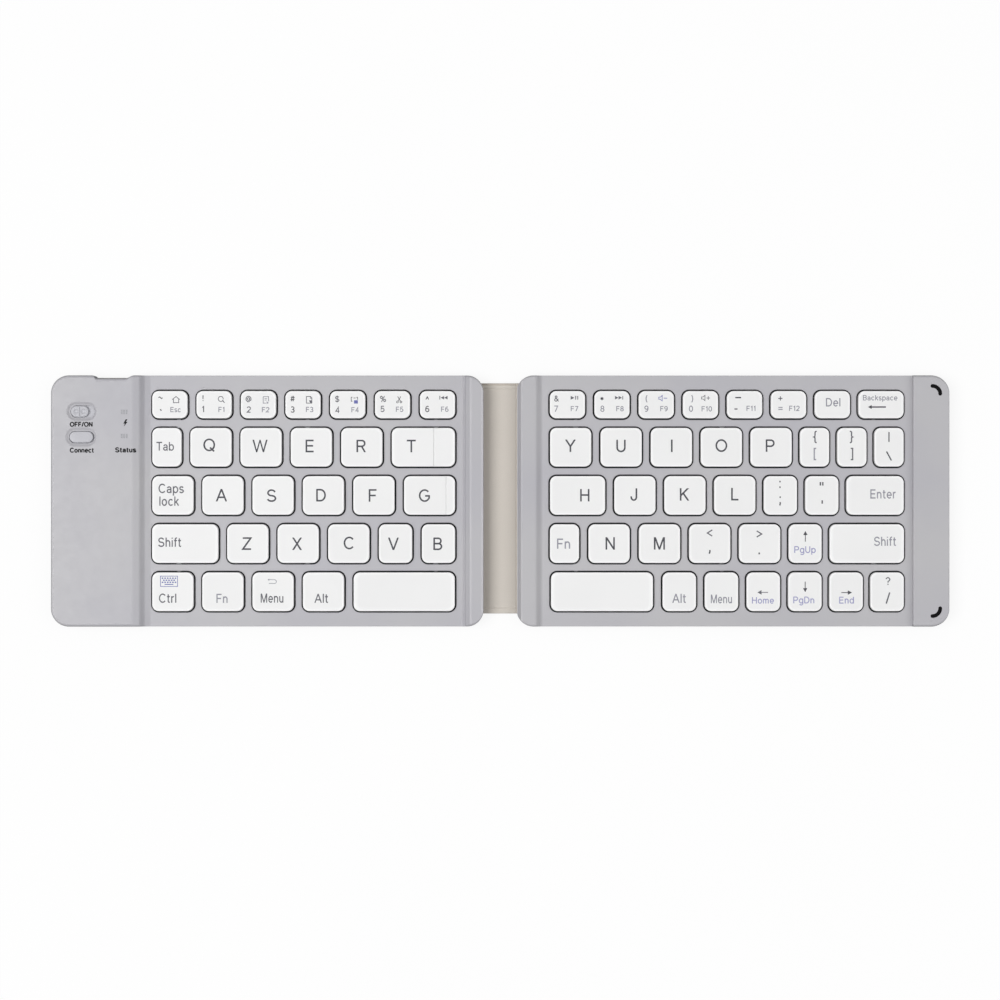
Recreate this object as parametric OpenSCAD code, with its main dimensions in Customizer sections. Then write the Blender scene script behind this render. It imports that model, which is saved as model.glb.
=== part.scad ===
// Folding keyboard: two keyed halves joined by a flexible leather spine, folding face to face.
// Frame: +X to the right half, +Y towards the number row, +Z up. Origin on the table under the middle of the spine.

/* [Body] */
// Overall length, laid open flat
body_length = 305.5; // [305:0.1:306.5]
// Depth, front edge to rear edge
body_depth = 85.5; // [85:0.1:86]
// Gap between the two halves, bridged by the spine
spine_gap = 11.2; // [11.2:0.1:11.6]
// Height of the raised end pods
pod_top = 7.5; // [7.3:0.1:7.5]
// Height of the raised ridge along each side of the spine
ridge_top = 7.3; // [7.1:0.1:7.3]
// Height of the key deck
deck_top = 5.3; // [5.2:0.1:5.5]
// Thickness of the key deck
deck_t = 1.3; // [1.0:0.1:1.5]
// Corner radius at the outer ends
corner_r = 6.1; // [5:0.1:7]
// Corner radius beside the spine
inner_corner_r = 5.8; // [4:0.1:6]

/* [Keys] */
// Height of the key tops at rest
key_top = 6.7; // [6.5:0.1:6.9]
// Corner radius of the keycaps
key_r = 2.2; // [1.6:0.1:2.8]
// Clearance round each keycap
key_gap = 0.4; // [0.3:0.05:0.6]
// Front to back size of a normal key
key_h = 13.2; // [12.6:0.1:13.4]
// Front to back size of a number key
num_h = 9.3; // [8.6:0.1:9.4]

/* [Layers] */
// Thickness of the leather cover, and of the whole spine laminate
cover_t = 0.9; // [0.8:0.05:0.9]
// Thickness of the steel base plates
plate_t = 0.5; // [0.4:0.05:0.5]
// Thickness of the membrane
membrane_t = 0.3; // [0.2:0.05:0.3]

/* [Spine] */
// Rear end of the spine strip
spine_rear = 40.4; // [38:0.1:41]
// Front end of the spine strip
spine_front = -38.6; // [-41:0.1:-36]
// Distance from the middle to each inner crease
crease_in = 3.46; // [3.4:0.01:3.5]
// Distance from the middle to each outer crease
crease_out = 8.71; // [8.7:0.01:8.75]
// Half of the slit left in the stiff layers at each crease
crease_slit = 0.25; // [0.22:0.01:0.3]

/* [Power controls] */
// Travel of the power switch
slider_travel = 2.0; // [1.5:0.1:2.0]
// Middle of the power switch knob, left of the spine
slider_x = -142.9; // [-143:0.1:-142.5]
// Middle of the power switch knob, front to back
slider_y = 30.45; // [30:0.05:31]
// Middle of the connect button, left of the spine
button_x = -142.35; // [-142.6:0.05:-142]
// Middle of the connect button, front to back
button_y = 21.75; // [21.5:0.05:22]

/* [Hidden] */

eps = 0.01;
xo = body_length / 2;             // outer ends
xi = spine_gap / 2;               // inner edges
yo = body_depth / 2;
z_cover = cover_t;                // top of the cover, underside of the frames
z_plate = z_cover + plate_t;
z_mem = z_plate + membrane_t;
z_deck_in = deck_top - deck_t;    // underside of the key deck
z_roof = pod_top - 1.2;           // underside of the pod roofs
wall = 1.4;
key_bottom = key_top - 2.3;
key_plate = 1.2;
bull_r = 5.85;                    // how far in the rounded underside beside the spine reaches

// Key layout: widths along each row, spread over the width of the block
left_x0 = -118.3;  left_w = 103.1;
right_x0 = 16.9;   right_w = 120.4;
u = 14.05;
row_y = [32.8, 18.3, 1.9, -14.5, -30.9];
row_h = [num_h, key_h, key_h, key_h, key_h];
// how far the keys in the middle of a row stand nearer or farther from the spine than an even spread
left_bow = [-0.3, -0.22, -0.25, -0.3, -0.3];
right_bow = [0.37, 0.6, 0.42, 0.55, 0.9];
left_rows = [
  [12, 12, 12, 12, 12, 12, 12],
  [9.95, u, u, u, u, 21.55],
  [u, u, u, u, u, 17.4],
  [22.55, u, u, u, 11.35, 11.35],
  [u, u, u, u, 34.45]
];
right_rows = [
  [12, 12, 12, 12, 12, 12, 12, 15.4],
  [u, u, u, u, u, 9.95, 9.95, 9.95],
  [18.8, u, u, u, 11.3, 11.3, 19.5],
  [9.95, u, u, u, u, 11.2, 25.3],
  [34.75, 11.4, 11.4, 11.4, 11.4, 11.4, 11.4]
];
left_boss = [[-110, 26.5], [-66, 26.5], [-22, 26.5], [-110, -22.7], [-66, -22.7], [-22, -22.7]];
right_boss = [[26, 26.5], [76, 26.5], [128, 26.5], [26, -22.7], [76, -22.7], [128, -22.7]];
left_pod_boss = [[-148.9, -38.4], [-129.5, -38.4]];
right_pod_boss = [[147.6, 30], [147.6, -12]];
pcb_post = [[-147.6, 36.8], [-147.6, 6.5]];
magnet_y = [16, -30];

function sum(v, n) = n <= 0 ? 0 : v[n - 1] + sum(v, n - 1);
function gap_of(row, total) = (total - sum(row, len(row))) / (len(row) - 1);
function even_x(row, total, i) = sum(row, i) + i * gap_of(row, total) + row[i] / 2;
function key_x(row, total, x0, bow, i) = let (t = even_x(row, total, i) / total) x0 + t * total + bow * 4 * t * (1 - t);
function arc(cx, cy, r, a0, a1, n) = [for (i = [0:n]) let (a = a0 + (a1 - a0) * i / n) [cx + r * cos(a), cy + r * sin(a)]];
function rr(w, h, r, n) = concat(
  arc(w / 2 - r, h / 2 - r, r, 0, 90, n), arc(-w / 2 + r, h / 2 - r, r, 90, 180, n),
  arc(-w / 2 + r, -h / 2 + r, r, 180, 270, n), arc(w / 2 - r, -h / 2 + r, r, 270, 360, n));
// rises from 0 at a to 1 at b, level at both ends
function soft(x, a, b) = let (t = min(max((x - a) / (b - a), 0), 1)) t * t * (3 - 2 * t);
function span(a, b, n) = [for (i = [0:n]) a + (b - a) * i / n];
// quarter of a flattened ellipse, from the side down to the bottom; e is how full it is
function bull(x, z, rx, rz, e, n) = [for (i = [0:n]) let (a = 90 * i / n, k = 2 / e) [x - rx + rx * pow(cos(a), k), z - rz * pow(sin(a), k)]];

module slab(pts, z0, z1) { translate([0, 0, z0]) linear_extrude(z1 - z0) polygon(pts); }
module plate(w, h, r, z0, z1, n = 5) { slab(rr(w, h, r, n), z0, z1); }
module box(x0, x1, y0, y1, z0, z1) { translate([x0, y0, z0]) cube([x1 - x0, y1 - y0, z1 - z0]); }
// an outline in X and Z, run from y0 to y1
module run_y(pts, y0, y1) { translate([0, y1, 0]) rotate([90, 0, 0]) linear_extrude(y1 - y0) polygon(pts); }
// an outline in Y and Z, run from x0 to x1
module run_x(pts, x0, x1) { translate([x0, 0, 0]) rotate([90, 0, 90]) linear_extrude(x1 - x0) polygon(pts); }

module at_keys(rows, total, x0, row, i0, i1) {
  for (i = [i0:i1]) translate([key_x(rows[row], total, x0, (x0 < 0 ? left_bow : right_bow)[row], i), row_y[row], 0]) {
    $w = rows[row][i];
    $h = row_h[row];
    children();
  }
}
module all_keys(rows, total, x0) { for (r = [0:4]) at_keys(rows, total, x0, r, 0, len(rows[r]) - 1) children(); }

// ---------- frames ----------
// Inner side of the wide pod: a faint fall, a steep one, and a long soft foot
function pod_fall() = [for (x = span(-125.6, -119.2, 24)) [x, pod_top - (pod_top - deck_top) *
  (0.18 * soft(x, -125.6, -122.2) + 0.62 * soft(x, -123.3, -120.9) + 0.2 * soft(x, -121.9, -119.2))]];
// Inner side of the narrow pod: an upright wall with a broken edge
function pod_wall() = concat(arc(-140.7, pod_top - 0.2, 0.2, 90, 10, 3), [[-140.42, deck_top]]);
// Ridge beside the spine, from the key deck over its top and round to the underside, drawn for the left half:
// a low bead, a shallow valley, the rise, and a fine lip along the edge
function left_ridge() = concat(
  [for (x = span(-13.2, -9.75, 18)) [x, deck_top + 0.3 * soft(x, -13.2, -12.5) - 0.2 * soft(x, -12.45, -11.75)
    + (ridge_top - deck_top - 0.1) * soft(x, -11.75, -9.75)]],
  [for (x = span(-xi - 0.9, -xi - 0.55, 3)) [x, ridge_top + 0.1 * soft(x, -xi - 0.9, -xi - 0.55)]],
  arc(-xi - 0.3, ridge_top - 0.2, 0.3, 90, 0, 4),
  [for (i = [1:16]) bull(-xi, ridge_top - 0.2, bull_r, ridge_top - 0.2 - z_cover, 1.85, 16)[i]]);
// The other ridge is lower, and a narrow ledge runs along it towards the spine
function right_ridge() = concat(
  [for (x = span(-14.7, -11.8, 12)) [x, deck_top + 1.5 * soft(x, -14.7, -11.8)]],
  arc(-xi - 1.55, deck_top + 1.2, 0.3, 90, 5, 4),
  [[-xi - 1.22, 5.62], [-xi - 1.05, 5.45]],
  arc(-xi - 0.2, 5.2, 0.2, 90, 0, 3),
  [for (i = [1:16]) bull(-xi, 5.2, bull_r, 5.2 - z_cover, 1.55, 16)[i]]);
// Cross-section of one half seen from the front, drawn for the left half
function frame_section(pod_side, ridge) = concat(
  [[-xo + 0.4, z_cover], [-xo, z_cover + 0.4]],
  arc(-xo + 1.0, pod_top - 1.0, 1.0, 180, 90, 6),
  pod_side,
  ridge);
// Plan of one half, drawn for the left half
function frame_plan(d) = concat(
  arc(-xi - d - inner_corner_r, yo - d - inner_corner_r, inner_corner_r, 0, 90, 10),
  arc(-xo + d + corner_r, yo - d - corner_r, corner_r, 90, 180, 12),
  arc(-xo + d + corner_r, -yo + d + corner_r, corner_r, 180, 270, 12),
  arc(-xi - d - inner_corner_r, -yo + d + inner_corner_r, inner_corner_r, 270, 360, 10));
// Section seen from the side: only the raised pods and ridges reach the rounded top edges
function frame_side() = concat(
  [[-yo, z_cover - 1]], arc(-yo + 1.1, pod_top - 1.1, 1.1, 180, 90, 6),
  arc(yo - 1.1, pod_top - 1.1, 1.1, 90, 0, 6), [[yo, z_cover - 1]]);

module frame_blank(pod_side, ridge) {
  intersection() {
    run_y(frame_section(pod_side, ridge), -yo - 1, yo + 1);
    slab(frame_plan(0), z_cover - 1, pod_top + 1);
    run_x(frame_side(), -xo - 1, 1);
  }
}
module boss(p, r, z1) { translate([p[0], p[1], z_plate]) cylinder(r = r, h = z1 - z_plate, $fn = 32); }
module boss_hole(p, z1) { translate([p[0], p[1], z_plate - eps]) cylinder(r = 0.63, h = z1 - z_plate, $fn = 24); }
module stadium(w, h, z0, z1) { plate(w, h, h / 2 - 0.005, z0, z1, 10); }

module usb_notch() {
  slab([[-138.4, yo + 1], [-138.4, yo + 0.01], [-137.2, yo - 1.0], [-126.9, yo - 1.0], [-124.7, yo + 0.01], [-124.7, yo + 1]], -1, 9);
}
// Space at the end of a half: from the outer wall, with its corners rounded like the outside, in to x1
function end_plan(x1, y0, y1) = let (r = corner_r - wall, x0 = -xo + wall)
  concat(arc(x0 + r, y1 - r, r, 90, 180, 6), arc(x0 + r, y0 + r, r, 180, 270, 6), [[x1, y0], [x1, y1]]);
module left_frame() {
  color("#c1c0c5") difference() {
    union() {
      difference() {
        frame_blank(pod_fall(), left_ridge());
        // space under the key deck, then the taller space inside the pod
        box(-123.6, -12.2, -yo + wall, yo - wall, -1, z_deck_in);
        slab(end_plan(-123.6, -yo + wall, yo - 1.9), -1, z_deck_in);
        slab(end_plan(-126.3, -yo + wall, yo - 1.9), 3, z_roof);
        // slot in the inner wall for the ribbon cable
        box(-12.4, -9, -6.4, 6.4, 0, z_plate + 0.6);
      }
      for (p = left_boss) boss(p, 1.2, z_deck_in + 0.2);
      for (p = left_pod_boss) boss(p, 1.5, z_roof + 0.2);
      for (p = pcb_post) translate([p[0], p[1], 2.7]) cylinder(r = 1.5, h = z_roof + 0.2 - 2.7, $fn = 32);
    }
    for (p = left_boss) boss_hole(p, z_deck_in - 0.2);
    for (p = left_pod_boss) boss_hole(p, z_deck_in + 0.5);
    for (p = pcb_post) translate([p[0], p[1], 2.7 - eps]) cylinder(r = 0.63, h = 2.4, $fn = 24);
    all_keys(left_rows, left_w, left_x0) plate($w + 2 * key_gap, $h + 2 * key_gap, key_r + key_gap, 3, 9);
    usb_notch();
    translate([-132.4, yo, 3.98]) rotate([90, 0, 0]) plate(8.0, 2.95, 1.2, -1, 3, 6);
    // power switch slot, connect button hole and status light slits
    translate([slider_x + slider_travel / 2, slider_y, 0]) stadium(6.1 + slider_travel + 0.2, 4.05, 5, 9);
    translate([button_x, button_y, 0]) stadium(8.35, 4.05, 5, 9);
    for (y = [30.3, 22.1]) for (k = [-1:1]) translate([-127.72 + 0.85 * k, y, 0]) plate(0.5, 1.4, 0.12, 5, 9, 2);
  }
}
module right_frame() {
  color("#c1c0c5") difference() {
    union() {
      difference() {
        mirror([1, 0, 0]) frame_blank(pod_wall(), right_ridge());
        box(12.2, 141.6, -yo + wall, yo - wall, -1, z_deck_in);
        mirror([1, 0, 0]) slab(end_plan(-141.6, -yo + wall, yo - wall), -1, z_deck_in);
        mirror([1, 0, 0]) slab(end_plan(-143.9, -yo + wall, yo - wall), 3, z_roof);
        box(9, 12.4, -6.4, 6.4, 0, z_plate + 0.6);
      }
      for (p = right_boss) boss(p, 1.2, z_deck_in + 0.2);
      for (p = right_pod_boss) boss(p, 1.5, z_roof + 0.2);
    }
    for (p = right_boss) boss_hole(p, z_deck_in - 0.2);
    for (p = right_pod_boss) boss_hole(p, z_deck_in + 0.5);
    all_keys(right_rows, right_w, right_x0) plate($w + 2 * key_gap, $h + 2 * key_gap, key_r + key_gap, 3, 9);
    for (s = [1, -1]) bumper_arc(s, 0.65, pod_top - 0.8, 9);
  }
}

// ---------- base plates, covers, membranes ----------
function inner_plan(x0, x1, y0, y1, r) = [for (p = rr(x1 - x0, y1 - y0, r, 6)) [p[0] + (x0 + x1) / 2, p[1] + (y0 + y1) / 2]];
module plate_screw_hole(p) { translate([p[0], p[1], z_cover - eps]) cylinder(r1 = 1.24, r2 = 0.66, h = plate_t + 2 * eps, $fn = 24); }
module left_base_plate() {
  color("#9a9da1") difference() {
    slab(inner_plan(-xo + wall + 0.2, -12.4, -yo + wall + 0.2, yo - 1.9 - 0.2, corner_r - wall - 0.3), z_cover, z_plate);
    for (p = concat(left_boss, left_pod_boss)) plate_screw_hole(p);
  }
}
module right_base_plate() {
  color("#9a9da1") difference() {
    slab(inner_plan(12.4, xo - wall - 0.2, -yo + wall + 0.2, yo - wall - 0.2, corner_r - wall - 0.3), z_cover, z_plate);
    for (p = concat(right_boss, right_pod_boss)) plate_screw_hole(p);
  }
}
// Stiff leather-covered board under one half, with a short tongue to the outer crease
module cover_panel() {
  difference() {
    union() {
      slab(inner_plan(-xo + 0.5, -11.2, -yo + 0.5, yo - 0.5, 4.5), 0, cover_t);
      box(-12, -crease_out - crease_slit, spine_front, spine_rear, 0, cover_t);
    }
    box(-12.2, -8, -6.3, 6.3, 0.5, 2);
  }
}
module left_cover_panel() { color("#cfc9c2") cover_panel(); }
module right_cover_panel() { color("#cfc9c2") mirror([1, 0, 0]) cover_panel(); }

module left_membrane() {
  color("#8fae9f") {
    difference() {
      union() {
        slab(inner_plan(-121.5, -12.9, -yo + wall + 0.4, yo - wall - 0.9, 0.6), z_plate, z_mem);
        // tail that climbs to the connector on the circuit board
        run_y([[-120.5, z_plate], [-120.5, z_mem], [-122.6, z_mem], [-125, 3.35], [-128.2, 3.35], [-128.2, 3.05], [-125.1, 3.05], [-122.5, z_plate]], 5.6, 16.4);
      }
      for (p = left_boss) translate([p[0], p[1], 0]) cylinder(r = 1.5, h = 5, $fn = 24);
    }
  }
}
module right_membrane() {
  color("#8fae9f") difference() {
    slab(inner_plan(12.9, 141, -yo + wall + 0.4, yo - wall - 0.9, 0.6), z_plate, z_mem);
    for (p = right_boss) translate([p[0], p[1], 0]) cylinder(r = 1.5, h = 5, $fn = 24);
  }
}

// ---------- key mechanism ----------
module dome(small) {
  f = small ? 2.1 : 3.1;
  c = small ? 1.75 : 2.5;
  t = small ? 1.1 : 1.4;
  top = key_top - key_plate - 0.05;
  rotate_extrude($fn = 32) polygon([
    [c - 0.4, z_mem], [f, z_mem], [f, z_mem + 0.3], [c, z_mem + 0.35], [t, top - 0.9], [t, top], [0, top], [0, top - 1.1], [t - 0.4, top - 1.2]
  ]);
}
module link(w, l, a) {
  rotate([a, 0, 0]) linear_extrude(0.7, center = true) difference() {
    square([w, l], center = true);
    square([w - 1.4, l - 1.4], center = true);
  }
}
// two crossed frames on a common pivot
module scissor(w, l) {
  a = asin(2.4 / l);
  translate([0, 0, 3.5]) {
    link(w, l, a);
    link(w - 1.7, l, -a);
    for (s = [-1, 1]) translate([s * (w / 2 - 0.775), 0, 0]) rotate([0, 90, 0]) cylinder(r = 0.28, h = 0.8, center = true, $fn = 16);
  }
}
module scissor_for(w, h) { scissor(min(w, u) - 3.4, w > 19 ? 8 : h - 2.9); }
// wire under a wide key that keeps it level: a bar, two arms and two turned-in feet
module stabiliser(l) {
  dy = 7; dz = 2.7;
  len = sqrt(dy * dy + dz * dz);
  translate([0, 5, 5]) {
    rotate([0, 90, 0]) cylinder(r = 0.35, h = l + 0.7, center = true, $fn = 24);
    for (s = [-1, 1]) translate([s * l / 2, 0, 0]) {
      rotate([180 - atan2(dy, dz), 0, 0]) cylinder(r = 0.3, h = len + 0.3, $fn = 24);
      translate([0, -dy, -dz]) rotate([0, -s * 90, 0]) cylinder(r = 0.25, h = 1.2, $fn = 24);
    }
  }
}
module left_rubber_domes() { color("#e4e2de") all_keys(left_rows, left_w, left_x0) dome(min($w, $h) < 13); }
module right_rubber_domes() { color("#e4e2de") all_keys(right_rows, right_w, right_x0) dome(min($w, $h) < 13); }
module left_scissor_links() { color("#d9d9d6") all_keys(left_rows, left_w, left_x0) scissor_for($w, $h); }
module right_scissor_links() { color("#d9d9d6") all_keys(right_rows, right_w, right_x0) scissor_for($w, $h); }
module left_stabiliser_bars() { color("#b8bbc0") all_keys(left_rows, left_w, left_x0) if ($w > 19) stabiliser($w - 3.9); }
module right_stabiliser_bars() { color("#b8bbc0") all_keys(right_rows, right_w, right_x0) if ($w > 19) stabiliser($w - 3.9); }

// ---------- keycaps ----------
module keycap(w, h) {
  difference() {
    plate(w, h, key_r, key_bottom, key_top, 6);
    plate(w - 2, h - 2, key_r - 0.9, key_bottom - 1, key_top - key_plate, 3);
  }
}
module left_caps(row, i0, i1) { color("#f3f3f5") at_keys(left_rows, left_w, left_x0, row, i0, i1) keycap($w, $h); }
module right_caps(row, i0, i1) { color("#f3f3f5") at_keys(right_rows, right_w, right_x0, row, i0, i1) keycap($w, $h); }

// ---------- fasteners and magnets ----------
module plate_screw(p, l) {
  translate([p[0], p[1], z_cover]) {
    cylinder(r1 = 1.18, r2 = 0.6, h = 0.5, $fn = 24);
    translate([0, 0, 0.4]) cylinder(r = 0.6, h = l - 0.4, $fn = 24);
  }
}
module left_screws() {
  color("#a9acb0") {
    for (p = left_boss) plate_screw(p, 2.6);
    for (p = left_pod_boss) plate_screw(p, 3.2);
    for (p = pcb_post) translate([p[0], p[1], 1.5]) { cylinder(r = 1.15, h = 0.4, $fn = 24); translate([0, 0, 0.3]) cylinder(r = 0.6, h = 2.9, $fn = 24); }
  }
}
module right_screws() {
  color("#a9acb0") {
    for (p = right_boss) plate_screw(p, 2.6);
    for (p = right_pod_boss) plate_screw(p, 3.2);
  }
}
module left_magnets() { color("#8c8f94") for (y = magnet_y) box(-xo + wall + 0.15, -148.45, y - 5, y + 5, z_roof - 2, z_roof); }
module right_magnets() { color("#8c8f94") for (y = magnet_y) box(149.0, xo - wall - 0.15, y - 5, y + 5, z_roof - 2, z_roof); }

// ---------- electronics in the left pod ----------
module battery() {
  color("#b9bec4") {
    difference() {
      slab(inner_plan(-147.6, -128.4, -35.6, 0.4, 1.2), z_plate + 0.05, 5);
      box(-148, -128, -1.8, 1, 3.6, 6);
    }
  }
}
module battery_leads() {
  color("#a3342c") for (x = [-141, -139.4]) translate([x, 0.4, 3.1]) rotate([-90, 0, 0]) cylinder(r = 0.35, h = 5, $fn = 16);
}
module main_circuit_board() {
  color("#2f6b46") difference() {
    slab(inner_plan(-150, -126.55, 3.4, 39.4, 0.8), 1.9, 2.7);
    for (p = pcb_post) translate([p[0], p[1], 1]) cylinder(r = 0.7, h = 3, $fn = 24);
  }
}
module circuit_components() {
  color("#26282b") {
    box(-141, -136, 9.5, 14.5, 2.7, 3.6);
    box(-134.8, -132.2, 18.4, 20, 2.7, 3.3);
    box(-145.4, -143.6, 10, 11, 2.7, 3.3);
    box(-145.4, -143.6, 12.6, 13.6, 2.7, 3.3);
    box(-134.4, -133.2, 26, 28, 2.7, 3.2);
    box(-131.8, -130.6, 26, 28, 2.7, 3.2);
  }
}
module membrane_connector() {
  color("#e9e6dc") difference() {
    box(-131.6, -127.2, 4.6, 17.4, 2.7, 4.2);
    box(-128.4, -127, 5.4, 16.6, 2.95, 3.45);
  }
}
module usb_port_shell() {
  color("#b4b7bb") translate([-132.4, yo - 1.1, 3.98]) rotate([90, 0, 0]) difference() {
    plate(7.6, 2.5, 1, 0, 5.4, 6);
    plate(7.0, 1.9, 0.75, -1, 5, 6);
  }
}
module usb_port_tongue() {
  color("#1f2022") translate([-132.4, yo - 1.1, 3.98]) rotate([90, 0, 0]) plate(5.4, 0.65, 0.15, 0.6, 5, 2);
}
module power_switch_housing() {
  color("#2b2d30") difference() {
    box(-146.4, -138.4, 29.05, 31.85, 2.7, 4.3);
    box(-145.4, -138.4 + -1, 29.75, 31.15, 3.3, 5);
  }
}
module power_switch_lever() { color("#e8e6e0") box(-144.0, -142.8 + 0.2, 29.95, 30.95, 3.5, 5.3); }
module tact_switch_housing() {
  color("#3a3c40") difference() {
    translate([button_x, button_y, 0]) plate(4.6, 4.6, 0.4, 2.7, 4.1, 2);
    translate([button_x, button_y, 3.1]) cylinder(r = 1.2, h = 3, $fn = 32);
  }
}
module tact_plunger() { color("#c9a23a") translate([button_x, button_y, 3.55]) cylinder(r = 1.05, h = 0.8, $fn = 32); }
module status_leds() { color("#f0efe6") for (y = [30.3, 22.1]) translate([-127.9, y, 2.7]) translate([-0.8, -0.4, 0]) cube([1.6, 0.8, 0.6]); }
module status_light_guides() {
  color("#dfe3e6") for (y = [30.3, 22.1]) translate([-127.72, y, 0]) {
    plate(2.5, 2.2, 0.2, 3.45, z_roof - 0.03, 2);
    for (k = [-1:1]) translate([0.85 * k, 0, 0]) plate(0.42, 1.3, 0.1, z_roof - 0.1, pod_top - 0.04, 2);
  }
}
module power_slider() {
  color("#d2d2d6") {
    difference() {
      union() {
        translate([slider_x, slider_y, 0]) stadium(6.1, 3.75, z_roof - 0.3, pod_top - 0.2);
        // flange under the roof, which keeps the slot covered
        translate([slider_x, slider_y, 0]) plate(10.4, 6, 0.4, z_roof - 0.55, z_roof - 0.06, 2);
        // fork that drives the switch lever
        translate([-143.3, slider_y, 0]) plate(3.6, 2.6, 0.2, 4.6, z_roof - 0.3, 2);
      }
      box(-144.05, -142.55, slider_y - 3, slider_y + 3, 4, 5.4);
      // round finger dimple either side of a fine groove
      for (s = [-1, 1]) translate([slider_x + s * 1.2, slider_y, pod_top - 0.45]) cylinder(r = 0.75, h = 1, $fn = 24);
      box(slider_x - 0.14, slider_x + 0.14, slider_y - 1.55, slider_y + 1.55, pod_top - 0.45, pod_top);
    }
  }
}
module connect_button() {
  color("#d2d2d6") translate([button_x, button_y, 0]) {
    stadium(8.05, 3.75, z_roof - 0.3, pod_top - 0.1);
    plate(9.5, 5.4, 0.4, z_roof - 0.55, z_roof - 0.08, 2);
    translate([0, 0, 4.4]) cylinder(r = 0.9, h = z_roof - 0.3 - 4.4, $fn = 32);
  }
}
// ribbon between the two membranes, through the middle of the spine laminate
module flex_cable() {
  top = [[-15.9, z_mem + 0.11], [-12.3, z_mem + 0.11], [-11.2, 0.65], [11.2, 0.65], [12.3, z_mem + 0.11], [15.9, z_mem + 0.11]];
  color("#c98a3c") run_y(concat(top, [for (i = [5:-1:0]) [top[i][0], top[i][1] - 0.1]]), -6, 6);
}

// ---------- spine ----------
module spine_cover(x0, x1) { color("#cfc9c2") box(x0, x1, spine_front, spine_rear, 0, 0.5); }
module spine_lining(x0, x1) {
  color("#cbc0b5") difference() {
    box(x0, x1, spine_front, spine_rear, 0.5, cover_t);
    box(x0 - 1, x1 + 1, -6.3, 6.3, 0, 0.7);
  }
}
s = crease_slit;

// ---------- corner bumpers on the right pod ----------
module bumper_arc(side, hw, z0, z1) {
  r = 2.65;
  translate([xo - corner_r + 0.3, side * (yo - corner_r - 0.2), z0]) mirror([0, side < 0 ? 1 : 0, 0]) {
    rotate_extrude(angle = 90, $fn = 64) translate([r - hw, 0]) square([2 * hw, z1 - z0]);
    translate([r, 0, 0]) cylinder(r = hw, h = z1 - z0, $fn = 32);
    translate([0, r, 0]) cylinder(r = hw, h = z1 - z0, $fn = 32);
  }
}
module rear_corner_bumper() { color("#17171a") bumper_arc(1, 0.6, pod_top - 0.8, pod_top + 0.2); }
module front_corner_bumper() { color("#17171a") bumper_arc(-1, 0.6, pod_top - 0.8, pod_top + 0.2); }

left_frame();
left_base_plate();
left_cover_panel();
left_membrane();
left_rubber_domes();
left_scissor_links();
left_stabiliser_bars();
left_magnets();
left_screws();
battery();
battery_leads();
main_circuit_board();
circuit_components();
membrane_connector();
usb_port_shell();
usb_port_tongue();
power_switch_housing();
tact_switch_housing();
status_leds();
status_light_guides();
flex_cable();
power_slider();
power_switch_lever();
connect_button();
tact_plunger();
spine_cover(-crease_out + s, -crease_in - s);  // spine_cover_left
spine_lining(-crease_out + s, -crease_in - s);  // spine_lining_left
spine_cover(-crease_in + s, crease_in - s);  // spine_cover_middle
spine_lining(-crease_in + s, crease_in - s);  // spine_lining_middle
spine_cover(crease_in + s, crease_out - s);  // spine_cover_right
spine_lining(crease_in + s, crease_out - s);  // spine_lining_right
right_frame();
right_base_plate();
right_cover_panel();
right_membrane();
right_rubber_domes();
right_scissor_links();
right_stabiliser_bars();
right_magnets();
right_screws();
rear_corner_bumper();
front_corner_bumper();
left_caps(0, 0, 6);  // keys_numbers_left
left_caps(1, 0, 0);  // key_tab
left_caps(1, 1, 5);  // keys_qwert
left_caps(2, 0, 0);  // key_caps_lock
left_caps(2, 1, 5);  // keys_asdfg
left_caps(3, 0, 0);  // key_shift_left
left_caps(3, 1, 5);  // keys_zxcvb
left_caps(4, 0, 3);  // keys_modifiers_left
left_caps(4, 4, 4);  // key_space_left
right_caps(0, 0, 6);  // keys_numbers_right
right_caps(0, 7, 7);  // key_backspace
right_caps(1, 0, 7);  // keys_yuiop
right_caps(2, 0, 5);  // keys_hjkl
right_caps(2, 6, 6);  // key_enter
right_caps(3, 0, 5);  // keys_nm
right_caps(3, 6, 6);  // key_shift_right
right_caps(4, 1, 6);  // keys_modifiers_right
right_caps(4, 0, 0);  // key_space_right
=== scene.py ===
import math
import bpy
import bmesh
from mathutils import Vector, Matrix
from mathutils.kdtree import KDTree


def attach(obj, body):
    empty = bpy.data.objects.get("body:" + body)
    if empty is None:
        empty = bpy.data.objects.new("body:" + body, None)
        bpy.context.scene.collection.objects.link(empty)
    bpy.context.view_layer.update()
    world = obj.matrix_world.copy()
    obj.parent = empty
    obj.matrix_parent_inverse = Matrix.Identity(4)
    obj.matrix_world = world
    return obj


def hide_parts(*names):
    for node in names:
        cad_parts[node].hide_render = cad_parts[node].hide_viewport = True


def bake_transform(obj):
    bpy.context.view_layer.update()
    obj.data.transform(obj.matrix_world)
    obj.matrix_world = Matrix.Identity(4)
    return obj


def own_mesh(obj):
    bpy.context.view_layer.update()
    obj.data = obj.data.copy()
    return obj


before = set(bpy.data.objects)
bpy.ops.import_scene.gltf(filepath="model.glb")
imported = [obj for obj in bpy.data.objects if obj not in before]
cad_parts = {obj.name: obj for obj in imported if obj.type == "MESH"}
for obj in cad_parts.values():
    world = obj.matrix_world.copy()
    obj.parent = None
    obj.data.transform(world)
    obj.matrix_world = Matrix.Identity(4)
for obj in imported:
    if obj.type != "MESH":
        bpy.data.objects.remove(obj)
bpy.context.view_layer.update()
scene = bpy.context.scene
scene.view_settings.view_transform = "Standard"
scene.view_settings.look = "None"

MM = 0.001
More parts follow.
